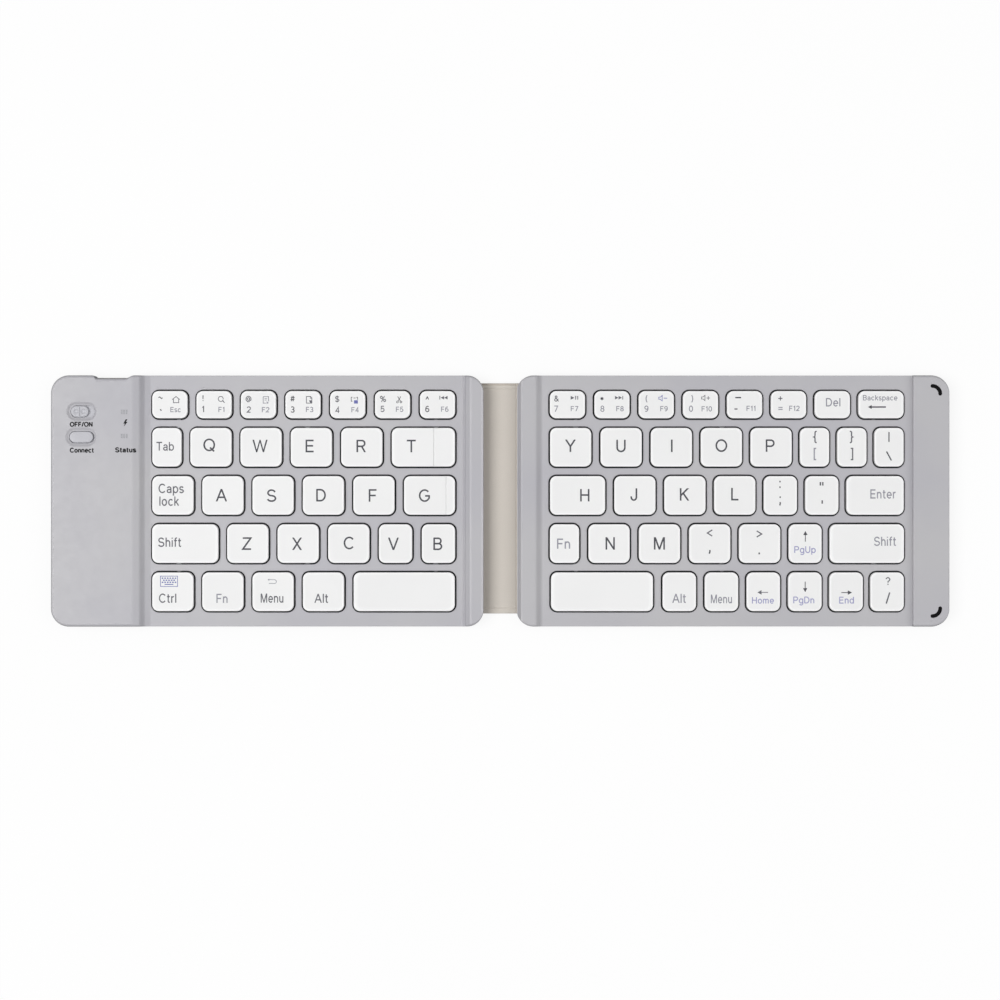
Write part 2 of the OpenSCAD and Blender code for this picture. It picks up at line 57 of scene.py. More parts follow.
# ---------------------------------------------------------------- layout, in millimetres, as in the frame
XO, YO, XI = 152.75, 42.75, 5.6
POD, RIDGE, DECK = 7.5, 7.3, 5.3
Z_COVER, Z_MEM, Z_IN, Z_ROOF = 0.9, 1.7, 4.0, 6.3
CORNER, INNER = 6.1, 5.8
KTOP, KBOT, KPLATE, KR = 6.7, 4.4, 1.2, 2.2
GAP = 0.4
CREASE_IN, CREASE_OUT = 3.46, 8.71
SPINE_F, SPINE_R = -38.6, 40.4
ROW_Y = [32.8, 18.3, 1.9, -14.5, -30.9]
ROW_H = [9.3, 13.2, 13.2, 13.2, 13.2]
U = 14.05
LEFT = dict(x0=-118.3, w=103.1, bow=[-0.3, -0.22, -0.25, -0.3, -0.3], rows=[
    [12] * 7,
    [9.95, U, U, U, U, 21.55],
    [U, U, U, U, U, 17.4],
    [22.55, U, U, U, 11.35, 11.35],
    [U, U, U, U, 34.45]])
RIGHT = dict(x0=16.9, w=120.4, bow=[0.37, 0.6, 0.42, 0.55, 0.9], rows=[
    [12] * 7 + [15.4],
    [U, U, U, U, U, 9.95, 9.95, 9.95],
    [18.8, U, U, U, 11.3, 11.3, 19.5],
    [9.95, U, U, U, U, 11.2, 25.3],
    [34.75] + [11.4] * 6])
GROUPS = [
    ("left", 0, 0, 6, "keys_numbers_left"), ("left", 1, 0, 0, "key_tab"), ("left", 1, 1, 5, "keys_qwert"),
    ("left", 2, 0, 0, "key_caps_lock"), ("left", 2, 1, 5, "keys_asdfg"), ("left", 3, 0, 0, "key_shift_left"),
    ("left", 3, 1, 5, "keys_zxcvb"), ("left", 4, 0, 3, "keys_modifiers_left"), ("left", 4, 4, 4, "key_space_left"),
    ("right", 0, 0, 6, "keys_numbers_right"), ("right", 0, 7, 7, "key_backspace"), ("right", 1, 0, 7, "keys_yuiop"),
    ("right", 2, 0, 5, "keys_hjkl"), ("right", 2, 6, 6, "key_enter"), ("right", 3, 0, 5, "keys_nm"),
    ("right", 3, 6, 6, "key_shift_right"), ("right", 4, 1, 6, "keys_modifiers_right"), ("right", 4, 0, 0, "key_space_right")]


def keys_of(side):
    """[(row, index, x, y, w, h)] of one half."""
    lay, out = (LEFT if side == "left" else RIGHT), []
    for r, row in enumerate(lay["rows"]):
        gap = (lay["w"] - sum(row)) / (len(row) - 1)
        x = lay["x0"]
        for i, w in enumerate(row):
            t = (x + w / 2 - lay["x0"]) / lay["w"]
            out.append((r, i, x + w / 2 + lay["bow"][r] * 4 * t * (1 - t), ROW_Y[r], w, ROW_H[r]))
            x += w + gap
    return out


def px(x, y, k=0.3402):
    """a place in the picture, as a place on the key tops in millimetres; k is the size of a pixel there"""
    return ((x - 500) * k, (501 - y) * k)


# ---------------------------------------------------------------- small mesh tools
def lin(c):
    c = c / 255.0
    return c / 12.92 if c <= 0.04045 else ((c + 0.055) / 1.055) ** 2.4


def rgb(r, g, b):
    return (lin(r), lin(g), lin(b), 1.0)


def arc(cx, cy, r, a0, a1, n):
    return [(cx + r * math.cos(math.radians(a0 + (a1 - a0) * i / n)), cy + r * math.sin(math.radians(a0 + (a1 - a0) * i / n))) for i in range(n + 1)]


def rr(w, h, r, n=6):
    r = max(min(r, w / 2 - 1e-4, h / 2 - 1e-4), 1e-3)
    return (arc(w / 2 - r, h / 2 - r, r, 0, 90, n) + arc(-w / 2 + r, h / 2 - r, r, 90, 180, n)
            + arc(-w / 2 + r, -h / 2 + r, r, 180, 270, n) + arc(w / 2 - r, -h / 2 + r, r, 270, 360, n))


def ring(pts, z, dx=0.0, dy=0.0, s=1.0):
    return [(dx + p[0] * s, dy + p[1] * s, z) for p in pts]


def loft(rings, start=True, end=True):
    """closed rings of equal length, bottom to top, counter-clockwise from above; returns verts, faces"""
    n = len(rings[0])
    verts = [p for r in rings for p in r]
    faces = []
    for k in range(len(rings) - 1):
        a, b = k * n, (k + 1) * n
        for i in range(n):
            j = (i + 1) % n
            faces.append((a + i, a + j, b + j, b + i))
    if start:
        faces.append(tuple(range(n - 1, -1, -1)))
    if end:
        m = (len(rings) - 1) * n
        faces.append(tuple(range(m, m + n)))
    return verts, faces


def to_mesh(name, verts, faces):
    me = bpy.data.meshes.new(name)
    me.from_pydata([(x * MM, y * MM, z * MM) for x, y, z in verts], [], faces)
    me.validate()
    return me


def clean(me, dist=2e-6, recalc=True):
    bm = bmesh.new()
    bm.from_mesh(me)
    bmesh.ops.remove_doubles(bm, verts=bm.verts, dist=dist)
    bmesh.ops.dissolve_degenerate(bm, dist=dist, edges=bm.edges)
    if recalc:
        bmesh.ops.recalc_face_normals(bm, faces=bm.faces)
    bm.to_mesh(me)
    bm.free()
    me.update()
    return me


def add(name, me, mat=None):
    ob = bpy.data.objects.new(name, me)
    scene.collection.objects.link(ob)
    if mat is not None:
        me.materials.clear()
        for m in (mat if isinstance(mat, (list, tuple)) else [mat]):
            me.materials.append(m)
    return ob


def smooth(ob, angle=35.0, weighted=True):
    me = ob.data
    me.shade_smooth()
    bm = bmesh.new()
    bm.from_mesh(me)
    lim = math.radians(angle)
    for e in bm.edges:
        e.smooth = not (len(e.link_faces) != 2 or e.calc_face_angle(0.0) > lim)
    bm.to_mesh(me)
    bm.free()
    if weighted:
        m = ob.modifiers.new("even normals", "WEIGHTED_NORMAL")
        m.keep_sharp = True
        m.weight = 100
    return ob


def evaluated_mesh(ob):
    bpy.context.view_layer.update()
    dg = bpy.context.evaluated_depsgraph_get()
    return bpy.data.meshes.new_from_object(ob.evaluated_get(dg))


def cut(target, cutter_mesh, op="DIFFERENCE", solver="MANIFOLD"):
    """target mesh with cutter_mesh taken off, added or shared"""
    a = bpy.data.objects.new("cut_a", target)
    b = bpy.data.objects.new("cut_b", cutter_mesh)
    scene.collection.objects.link(a)
    scene.collection.objects.link(b)
    m = a.modifiers.new("cut", "BOOLEAN")
    m.operation, m.object, m.solver = op, b, solver
    out = evaluated_mesh(a)
    if len(out.polygons) < 6 and solver == "MANIFOLD":
        bpy.data.meshes.remove(out)
        m.solver = "EXACT"
        out = evaluated_mesh(a)
    bpy.data.objects.remove(a)
    bpy.data.objects.remove(b)
    bpy.data.meshes.remove(target)
    bpy.data.meshes.remove(cutter_mesh)
    return out


def joined(name, parts):
    verts, faces = [], []
    for v, f in parts:
        n = len(verts)
        verts += v
        faces += [tuple(i + n for i in g) for g in f]
    return to_mesh(name, verts, faces)


def boxv(x0, x1, y0, y1, z0, z1):
    v = [(x0, y0, z0), (x1, y0, z0), (x1, y1, z0), (x0, y1, z0), (x0, y0, z1), (x1, y0, z1), (x1, y1, z1), (x0, y1, z1)]
    f = [(3, 2, 1, 0), (4, 5, 6, 7), (0, 1, 5, 4), (1, 2, 6, 5), (2, 3, 7, 6), (3, 0, 4, 7)]
    return v, f


def endv(side, x1, y0, y1, z0, z1):
    """space at the outer end of a half, its corners rounded like the outside; x1 is its inner limit, drawn for the left half"""
    r = CORNER - 1.4
    x0 = -XO + 1.4
    o = arc(x0 + r, y1 - r, r, 90, 180, 10) + arc(x0 + r, y0 + r, r, 180, 270, 10) + [(x1, y0), (x1, y1)]
    if side == "right":
        o = [(-x, y) for x, y in o[::-1]]
    return loft([[(x, y, z0) for x, y in o], [(x, y, z1) for x, y in o]])


def tube(x, y, r, z0, z1, n=32):
    pts = [(r * math.cos(2 * math.pi * i / n), r * math.sin(2 * math.pi * i / n)) for i in range(n)]
    return loft([ring(pts, z0, x, y), ring(pts, z1, x, y)])


# ---------------------------------------------------------------- materials
class Mat:
    """a small helper to build one node material"""

    def __init__(self, name):
        self.m = bpy.data.materials.new(name)
        self.m.use_nodes = True
        self.t = self.m.node_tree
        self.t.nodes.clear()
        self.out = self.n("ShaderNodeOutputMaterial")
        self.bsdf = self.n("ShaderNodeBsdfPrincipled")
        self.t.links.new(self.bsdf.outputs[0], self.out.inputs[0])
        self.co = self.n("ShaderNodeTexCoord").outputs["Object"]

    def n(self, kind, **kw):
        node = self.t.nodes.new(kind)
        for k, v in kw.items():
            setattr(node, k, v)
        return node

    def link(self, a, b):
        self.t.links.new(a, b)

    def set(self, **kw):
        for k, v in kw.items():
            self.bsdf.inputs[k.replace("_", " ")].default_value = v
        return self

    def noise(self, scale, detail=3.0, rough=0.55, stretch=None):
        t = self.n("ShaderNodeTexNoise")
        t.inputs["Scale"].default_value = scale
        t.inputs["Detail"].default_value = detail
        t.inputs["Roughness"].default_value = rough
        src = self.co
        if stretch:
            mp = self.n("ShaderNodeMapping")
            mp.inputs["Scale"].default_value = stretch
            self.link(self.co, mp.inputs["Vector"])
            src = mp.outputs[0]
        self.link(src, t.inputs["Vector"])
        return t.outputs[0]

    def voronoi(self, scale, feature="DISTANCE_TO_EDGE", random=1.0):
        t = self.n("ShaderNodeTexVoronoi", feature=feature)
        t.inputs["Scale"].default_value = scale
        t.inputs["Randomness"].default_value = random
        self.link(self.co, t.inputs["Vector"])
        return t.outputs[0]

    def remap(self, src, a, b, c, d):
        t = self.n("ShaderNodeMapRange")
        for i, v in zip(range(1, 5), (a, b, c, d)):
            t.inputs[i].default_value = v
        self.link(src, t.inputs[0])
        return t.outputs[0]

    def math(self, op, a, b):
        t = self.n("ShaderNodeMath", operation=op)
        for i, v in enumerate((a, b)):
            if isinstance(v, (int, float)):
                t.inputs[i].default_value = v
            else:
                self.link(v, t.inputs[i])
        return t.outputs[0]

    def mix(self, fac, a, b, blend="MIX"):
        t = self.n("ShaderNodeMix", data_type="RGBA", blend_type=blend)
        if isinstance(fac, (int, float)):
            t.inputs[0].default_value = fac
        else:
            self.link(fac, t.inputs[0])
        for i, v in ((6, a), (7, b)):
            if isinstance(v, tuple):
                t.inputs[i].default_value = v
            else:
                self.link(v, t.inputs[i])
        return t.outputs[2]

    def bump(self, height, strength, distance, normal=None):
        t = self.n("ShaderNodeBump")
        t.inputs["Strength"].default_value = strength
        t.inputs["Distance"].default_value = distance
        self.link(height, t.inputs["Height"])
        if normal is not None:
            self.link(normal, t.inputs["Normal"])
        return t.outputs[0]

    def colour(self, src):
        self.link(src, self.bsdf.inputs["Base Color"])
        return self

    def rough(self, src):
        self.link(src, self.bsdf.inputs["Roughness"])
        return self

    def normal(self, src):
        self.link(src, self.bsdf.inputs["Normal"])
        return self


def shade(c, k):
    return (c[0] * k, c[1] * k, c[2] * k, 1.0)


def moulded(name, base, rough=(0.42, 0.54), grain=2600.0, depth=0.000012, strength=0.35, vary=0.03, speckle=0.02, spec=0.45, tint=None):
    """spark-eroded moulded plastic: fine even grain, faint cloudiness, tiny speckle"""
    m = Mat(name)
    fine = m.noise(grain, 2.0, 0.6)
    cloud = m.noise(22.0, 3.0, 0.5)
    c = m.mix(m.remap(cloud, 0.35, 0.65, 0.0, 1.0), shade(base, 1.0 - vary), shade(tint or base, 1.0 + vary))
    c = m.mix(m.remap(fine, 0.62, 0.75, 0.0, speckle * 8), c, shade(base, 1.25))
    m.colour(c)
    m.rough(m.remap(m.noise(340.0, 3.0), 0.3, 0.7, rough[0], rough[1]))
    m.normal(m.bump(fine, strength, depth))
    m.set(Specular_IOR_Level=spec)
    return m.m


def leather(name, base, cell=1500.0, depth=0.00006, strength=0.5, dark=0.86, rough=(0.5, 0.66), sheen=0.0):
    """coated leather: pebble cells with soft furrows between them, faint mottling"""
    m = Mat(name)
    furrow = m.remap(m.voronoi(cell), 0.0, 0.28, 0.0, 1.0)
    broad = m.noise(260.0, 4.0)
    fine = m.noise(5200.0, 2.0)
    h = m.math("ADD", m.math("MULTIPLY", furrow, 0.75), m.math("MULTIPLY", fine, 0.25))
    h = m.math("ADD", h, m.math("MULTIPLY", broad, 0.6))
    c = m.mix(furrow, shade(base, dark), base)
    c = m.mix(m.remap(m.noise(34.0, 4.0), 0.35, 0.68, 0.0, 0.5), c, shade(base, 0.93))
    m.colour(c)
    m.rough(m.remap(broad, 0.3, 0.7, rough[0], rough[1]))
    m.normal(m.bump(h, strength, depth))
    m.set(Specular_IOR_Level=0.4)
    if sheen:
        m.bsdf.inputs["Sheen Weight"].default_value = sheen
        m.bsdf.inputs["Sheen Roughness"].default_value = 0.4
    return m.m


def metal(name, base, rough=(0.25, 0.4), brush=(1.0, 40.0, 1.0), scale=900.0):
    m = Mat(name)
    lines = m.noise(scale, 3.0, 0.5, stretch=brush)
    m.colour(m.mix(lines, shade(base, 0.9), shade(base, 1.06)))
    m.rough(m.remap(lines, 0.3, 0.7, rough[0], rough[1]))
    m.normal(m.bump(lines, 0.15, 0.00001))
    m.set(Metallic=1.0)
    return m.m


def simple(name, base, rough=(0.4, 0.55), grain=1800.0, metallic=0.0, spec=0.5, vary=0.05, depth=0.000015, coat=0.0):
    m = Mat(name)
    fine = m.noise(grain, 3.0)
    m.colour(m.mix(m.remap(m.noise(60.0, 3.0), 0.3, 0.7, 0.0, 1.0), shade(base, 1 - vary), shade(base, 1 + vary)))
    m.rough(m.remap(fine, 0.3, 0.7, rough[0], rough[1]))
    m.normal(m.bump(fine, 0.25, depth))
    m.set(Metallic=metallic, Specular_IOR_Level=spec)
    if coat:
        m.bsdf.inputs["Coat Weight"].default_value = coat
        m.bsdf.inputs["Coat Roughness"].default_value = 0.15
    return m.m


def keycap_material():
    m = Mat("keycap_white")
    fine = m.noise(3000.0, 2.0, 0.6)
    # 'rim' mixes a lighter colour into the rounded top edge of each key: a painted highlight
    at = m.n("ShaderNodeAttribute", attribute_name="rim")
    top, rim = rgb(240, 240, 240), rgb(252, 252, 252)
    c = m.mix(m.remap(m.noise(30.0, 3.0), 0.35, 0.65, 0.0, 1.0), shade(top, 0.985), shade(top, 1.01))
    c = m.mix(at.outputs["Fac"], c, rim)
    m.colour(c)
    m.rough(m.remap(m.noise(420.0, 3.0), 0.3, 0.7, 0.40, 0.5))
    m.normal(m.bump(fine, 0.25, 0.00001))
    m.set(Specular_IOR_Level=0.4)
    return m.m


FRAME = moulded("frame_silver", rgb(182, 181, 187), rough=(0.36, 0.48), tint=rgb(183, 182, 185), spec=0.6)
# dark colour for the key-well walls: painted shade that darkens the gaps round the keys
WELL_SHADE = moulded("frame_well_painted_shade", rgb(84, 84, 88), rough=(0.5, 0.62), spec=0.3)
CONTROL = moulded("control_silver", rgb(190, 190, 196), rough=(0.36, 0.46), grain=3200.0, strength=0.2)
KEYCAP = keycap_material()
INK = simple("legend_grey", rgb(80, 80, 86), rough=(0.55, 0.7), spec=0.25, vary=0.03)
INK_LIGHT = simple("legend_light", rgb(146, 146, 156), rough=(0.55, 0.7), spec=0.25, vary=0.03)
INK_MID = simple("legend_mid", rgb(104, 104, 111), rough=(0.55, 0.7), spec=0.25, vary=0.03)
INK_BLUE = simple("legend_blue", rgb(112, 116, 176), rough=(0.55, 0.7), spec=0.25, vary=0.03)
INK_PALE_BLUE = simple("legend_pale_blue", rgb(158, 158, 196), rough=(0.55, 0.7), spec=0.25, vary=0.03)
INK_BLACK = simple("panel_print_black", rgb(14, 14, 16), rough=(0.5, 0.65), spec=0.25, vary=0.03)
COVER = leather("leather_cover", rgb(205, 200, 194))
LINING = leather("leather_lining", rgb(214, 207, 198), cell=2600.0, depth=0.00003, strength=0.35, dark=0.94, rough=(0.62, 0.78), sheen=0.15)
RUBBER = simple("bumper_black", rgb(9, 9, 11), rough=(0.6, 0.75), grain=2600.0, spec=0.12)
STEEL = metal("zinc_steel", rgb(172, 174, 178))
PORT = metal("port_nickel", rgb(196, 197, 200), rough=(0.18, 0.3))
WIRE = metal("wire_steel", rgb(190, 192, 196), brush=(40.0, 1.0, 1.0))
SCREW = metal("screw_steel", rgb(160, 162, 166), rough=(0.3, 0.45))
MAGNET = metal("magnet_nickel", rgb(186, 188, 192), rough=(0.15, 0.25), scale=300.0)
FOIL = metal("pouch_foil", rgb(186, 190, 194), rough=(0.35, 0.5), brush=(3.0, 3.0, 1.0), scale=400.0)
FILM = simple("membrane_film", rgb(58, 59, 63), rough=(0.4, 0.55))
SILICONE = simple("dome_silicone", rgb(226, 224, 220), rough=(0.45, 0.6))
ACETAL = simple("link_acetal", rgb(220, 220, 216), rough=(0.35, 0.5))
LEAD = simple("lead_red", rgb(170, 48, 40), rough=(0.4, 0.55))
BOARD = simple("solder_mask", rgb(44, 104, 70), rough=(0.25, 0.4), coat=0.2)
CHIP = simple("package_black", rgb(36, 37, 40), rough=(0.5, 0.65))
NYLON = simple("connector_nylon", rgb(232, 228, 216), rough=(0.4, 0.55))
TONGUE = simple("port_tongue", rgb(26, 27, 29), rough=(0.4, 0.55))
SWITCH = simple("switch_black", rgb(46, 48, 52), rough=(0.45, 0.6))
LEVER = simple("lever_acetal", rgb(226, 224, 216), rough=(0.35, 0.5))
LED = simple("led_epoxy", rgb(238, 236, 226), rough=(0.15, 0.3), coat=0.4)
GUIDE = simple("guide_acrylic", rgb(160, 161, 166), rough=(0.2, 0.35), coat=0.4, vary=0.03)
RIBBON = simple("ribbon_film", rgb(50, 44, 40), rough=(0.3, 0.42), coat=0.3)


# ---------------------------------------------------------------- frames
def step3(t):
    t = min(max(t, 0.0), 1.0)
    return t * t * (3 - 2 * t)


def soft(x, a, b):
    """rises from 0 at a to 1 at b, level at both ends"""
    return step3((x - a) / (b - a))


def height(x, side):
    """top of a half at x, drawn for the left half"""
    if x < -30:
        if side == "left":
            return POD - (POD - DECK) * (0.16 * soft(x, -125.3, -122.0) + 0.62 * soft(x, -123.05, -120.7) + 0.22 * soft(x, -121.7, -118.9))
        if x <= -140.7:
            return POD
        if x <= -140.5:
            return POD - 0.2 + math.sqrt(max(0.04 - (x + 140.7) ** 2, 0.0))
        return DECK + max(POD - 0.2 - DECK, 0.0) * max(-140.42 - x, 0.0) / 0.08
    if side == "left":
        return DECK + 0.32 * soft(x, -13.2, -12.6) - 0.22 * soft(x, -12.5, -12.1) + 0.9 * soft(x, -12.1, -11.45) + 1.0 * soft(x, -11.65, -9.9) + 0.1 * soft(x, -6.2, -5.88)
    return DECK + 1.5 * soft(x, -14.7, -11.8)


def frame_blank(side):
    """one half, drawn for the left: the plan outline is carried up over its rounded top edge"""
    st = []  # (x, half depth, normal x, normal y, edge radius)
    end = 0.9 if side == "left" else 0.3
    for i in range(21):
        a = math.radians(180 - 90 * i / 20)
        st.append((-XO + CORNER + CORNER * math.cos(a), YO - CORNER + CORNER * math.sin(a), math.cos(a), math.sin(a),
                   end * math.cos(a) ** 2 + 1.0 * math.sin(a) ** 2))
    lo, hi = -XO + CORNER, -XI - INNER
    xs = [-16 - 7.4 * i for i in range(14)]
    if side == "left":
        xs += [-125.4 + 6.6 * i / 60 for i in range(61)] + [-13.2 + 3.6 * i / 48 for i in range(49)]
        xs += [-145, -140, -135, -130, -127]
    else:
        xs += [-140.7 + 0.2 * math.sin(math.radians(a)) for a in (0, 18, 36, 54, 72, 90)] + [-140.45, -140.42, -140.0]
        xs += [-14.7 + 2.9 * i / 30 for i in range(31)] + [-145, -143, -128, -134]
    xs = sorted(v for v in set(round(v, 4) for v in xs) if lo + 0.05 < v < hi - 0.02)
    for x in xs:
        z = height(x, side)
        top, big = (POD, 1.0) if x < -30 else ((RIDGE, 0.9) if side == "left" else (DECK + 1.5, 0.75))
        st.append((x, YO, 0.0, 1.0, 0.2 + (big - 0.2) * min(max((z - DECK) / (top - DECK), 0.0), 1.0)))
    rim = (0.9, 0.3) if side == "left" else (0.75, 0.4)
    for i in range(21):
        a = math.radians(90 - 90 * i / 20)
        st.append((-XI - INNER + INNER * math.cos(a), YO - INNER + INNER * math.sin(a), math.cos(a), math.sin(a),
                   rim[0] * math.sin(a) ** 2 + rim[1] * math.cos(a) ** 2))
    N = len(st)
    # outline, counter-clockwise from above: front side left to right, rear side right to left
    rings = []

    def ring_at(f):
        front, rear = [], []
        for s in st:
            x, y, z = f(s)
            front.append((x, -y, z))
            rear.append((x, y, z))
        return front + rear[::-1]

    rings.append(ring_at(lambda s: (s[0] - s[2] * 0.4, s[1] - s[3] * 0.4, Z_COVER)))
    rings.append(ring_at(lambda s: (s[0] - s[2] * 0.12, s[1] - s[3] * 0.12, Z_COVER + 0.12)))
    rings.append(ring_at(lambda s: (s[0], s[1], Z_COVER + 0.4)))
    for k in range(0, 9):
        a = math.radians(90 * k / 8)
        rings.append(ring_at(lambda s: (
            s[0] - s[2] * s[4] * (1 - math.cos(a)), s[1] - s[3] * s[4] * (1 - math.cos(a)),
            height(s[0] - s[2] * s[4], side) - s[4] * (1 - math.sin(a)))))
    M = 2 * N
    verts = [p for r in rings for p in r]
    faces = []
    for k in range(len(rings) - 1):
        a, b = k * M, (k + 1) * M
        for i in range(M):
            j = (i + 1) % M
            faces.append((a + i, a + j, b + j, b + i))
    top = (len(rings) - 1) * M
    for base, flip in ((0, True), (top, False)):
        for i in range(N - 1):
            q = (base + i, base + i + 1, base + M - 2 - i, base + M - 1 - i)
            faces.append(q[::-1] if flip else q)
    return clean(to_mesh("frame", verts, faces))


def bull_prism(side):
    """everything of the half except what is cut away beside the spine, drawn for the left half"""
    rx, xe = 5.85, -XI + 0.03
    pts = [(-170, -3), (-170, 12)]
    if side == "left":
        zt, full = RIDGE - 0.2, 1.85
        pts += [(xe + 0.5, 12), (xe + 0.5, zt + 0.2), (xe, zt)]
    else:  # a rounded upright face and the narrow ledge in front of it
        zt, full, xe = 5.2, 1.55, -XI - 0.22
        top = DECK + 1.5
        pts += [(-7.65, 12)] + arc(-7.65, top + 0.01 - 0.8, 0.8, 90, 0, 12)
        pts += arc(-6.65, 5.12, 0.2, 180, 254, 5) + arc(xe - 0.25, zt - 0.21, 0.2, 105, 8, 7)
    k = 2 / full
    for i in range(1, 33):
        a = math.radians(90 * i / 32)
        z = zt - (zt - Z_COVER) * math.sin(a) ** k
        if z < pts[-1][1] - 0.01:
            pts.append((xe - rx + rx * max(math.cos(a), 0.0) ** k, z))
    pts.append((pts[-1][0], -3))
    n = len(pts)
    verts = [(x, -60, z) for x, z in pts] + [(x, 60, z) for x, z in pts]
    faces = [tuple(range(n)), tuple(range(2 * n - 1, n - 1, -1))]
    faces += [((i + 1) % n, i, n + i, n + (i + 1) % n) for i in range(n)]
    return clean(to_mesh("prism", verts, faces))


def well(x, y, w, h):
    """key well with a softly broken upper edge"""
    g, f = GAP + 0.12, 0.12
    o = rr(w + 2 * g, h + 2 * g, KR + g, 8)
    rings = [ring(o, 3.0, x, y), ring(o, DECK - f, x, y)]
    for a in (22.5, 45, 67.5, 90):
        e = f * (1 - math.cos(math.radians(a)))
        rings.append(ring(rr(w + 2 * g + 2 * e, h + 2 * g + 2 * e, KR + g + e, 8), DECK - f + f * math.sin(math.radians(a)), x, y))
    e = f
    rings.append(ring(rr(w + 2 * g + 2 * e + 0.01, h + 2 * g + 2 * e + 0.01, KR + g + e, 8), DECK + 1.0, x, y))
    return loft(rings)


def dish(x, y, w, h, depth, inner_w, inner_h, top=POD):
    """soft hollow in the roof round a control"""
    n, rings = 10, []
    for k in range(n + 1):
        t = k / n
        ww, hh = inner_w + (w - inner_w) * t, inner_h + (h - inner_h) * t
        rings.append(ring(rr(ww, hh, hh / 2 - 0.01, 10), top - depth * (1 - step3(t)) + 0.004 * t, x, y))
    rings.append(ring(rr(w, h, h / 2 - 0.01, 10), top + 1, x, y))
    return loft(rings)


def hole(x, y, w, h, z0, z1, r=None, n=10, lip=0.0, lip_z=0.0):
    r = h / 2 - 0.005 if r is None else r
    rings = [ring(rr(w, h, r, n), z0, x, y)]
    if lip:
        rings.append(ring(rr(w, h, r, n), lip_z - lip, x, y))
        for a in (30, 60, 90):
            e = lip * (1 - math.cos(math.radians(a)))
            rings.append(ring(rr(w + 2 * e, h + 2 * e, r + e, n), lip_z - lip + lip * math.sin(math.radians(a)), x, y))
        rings.append(ring(rr(w + 2 * lip, h + 2 * lip, r + lip, n), z1, x, y))
    else:
        rings.append(ring(rr(w, h, r, n), z1, x, y))
    return loft(rings)


def y_tube(x, z, w, h, r, y0, y1, n=8):
    """a rounded hole that runs front to back"""
    o = rr(w, h, r, n)
    verts = [(x + p[0], y0, z + p[1]) for p in o] + [(x + p[0], y1, z + p[1]) for p in o]
    m = len(o)
    faces = [tuple(range(m)), tuple(range(2 * m - 1, m - 1, -1))]
    faces += [((i + 1) % m, i, m + i, m + (i + 1) % m) for i in range(m)]
    return verts, faces


LB = [(-110, 26.5), (-66, 26.5), (-22, 26.5), (-110, -22.7), (-66, -22.7), (-22, -22.7)]
RB = [(26, 26.5), (76, 26.5), (128, 26.5), (26, -22.7), (76, -22.7), (128, -22.7)]
LPB = [(-148.9, -38.4), (-129.5, -38.4)]
RPB = [(147.6, 30), (147.6, -12)]
POSTS = [(-147.6, 36.8), (-147.6, 6.5)]
SLIDER = (-142.9, 30.45)
BUTTON = (-142.35, 21.75)
LED_X, LED_Y = -127.72, (30.3, 22.1)
USB_X, USB_Z = -132.4, 3.98


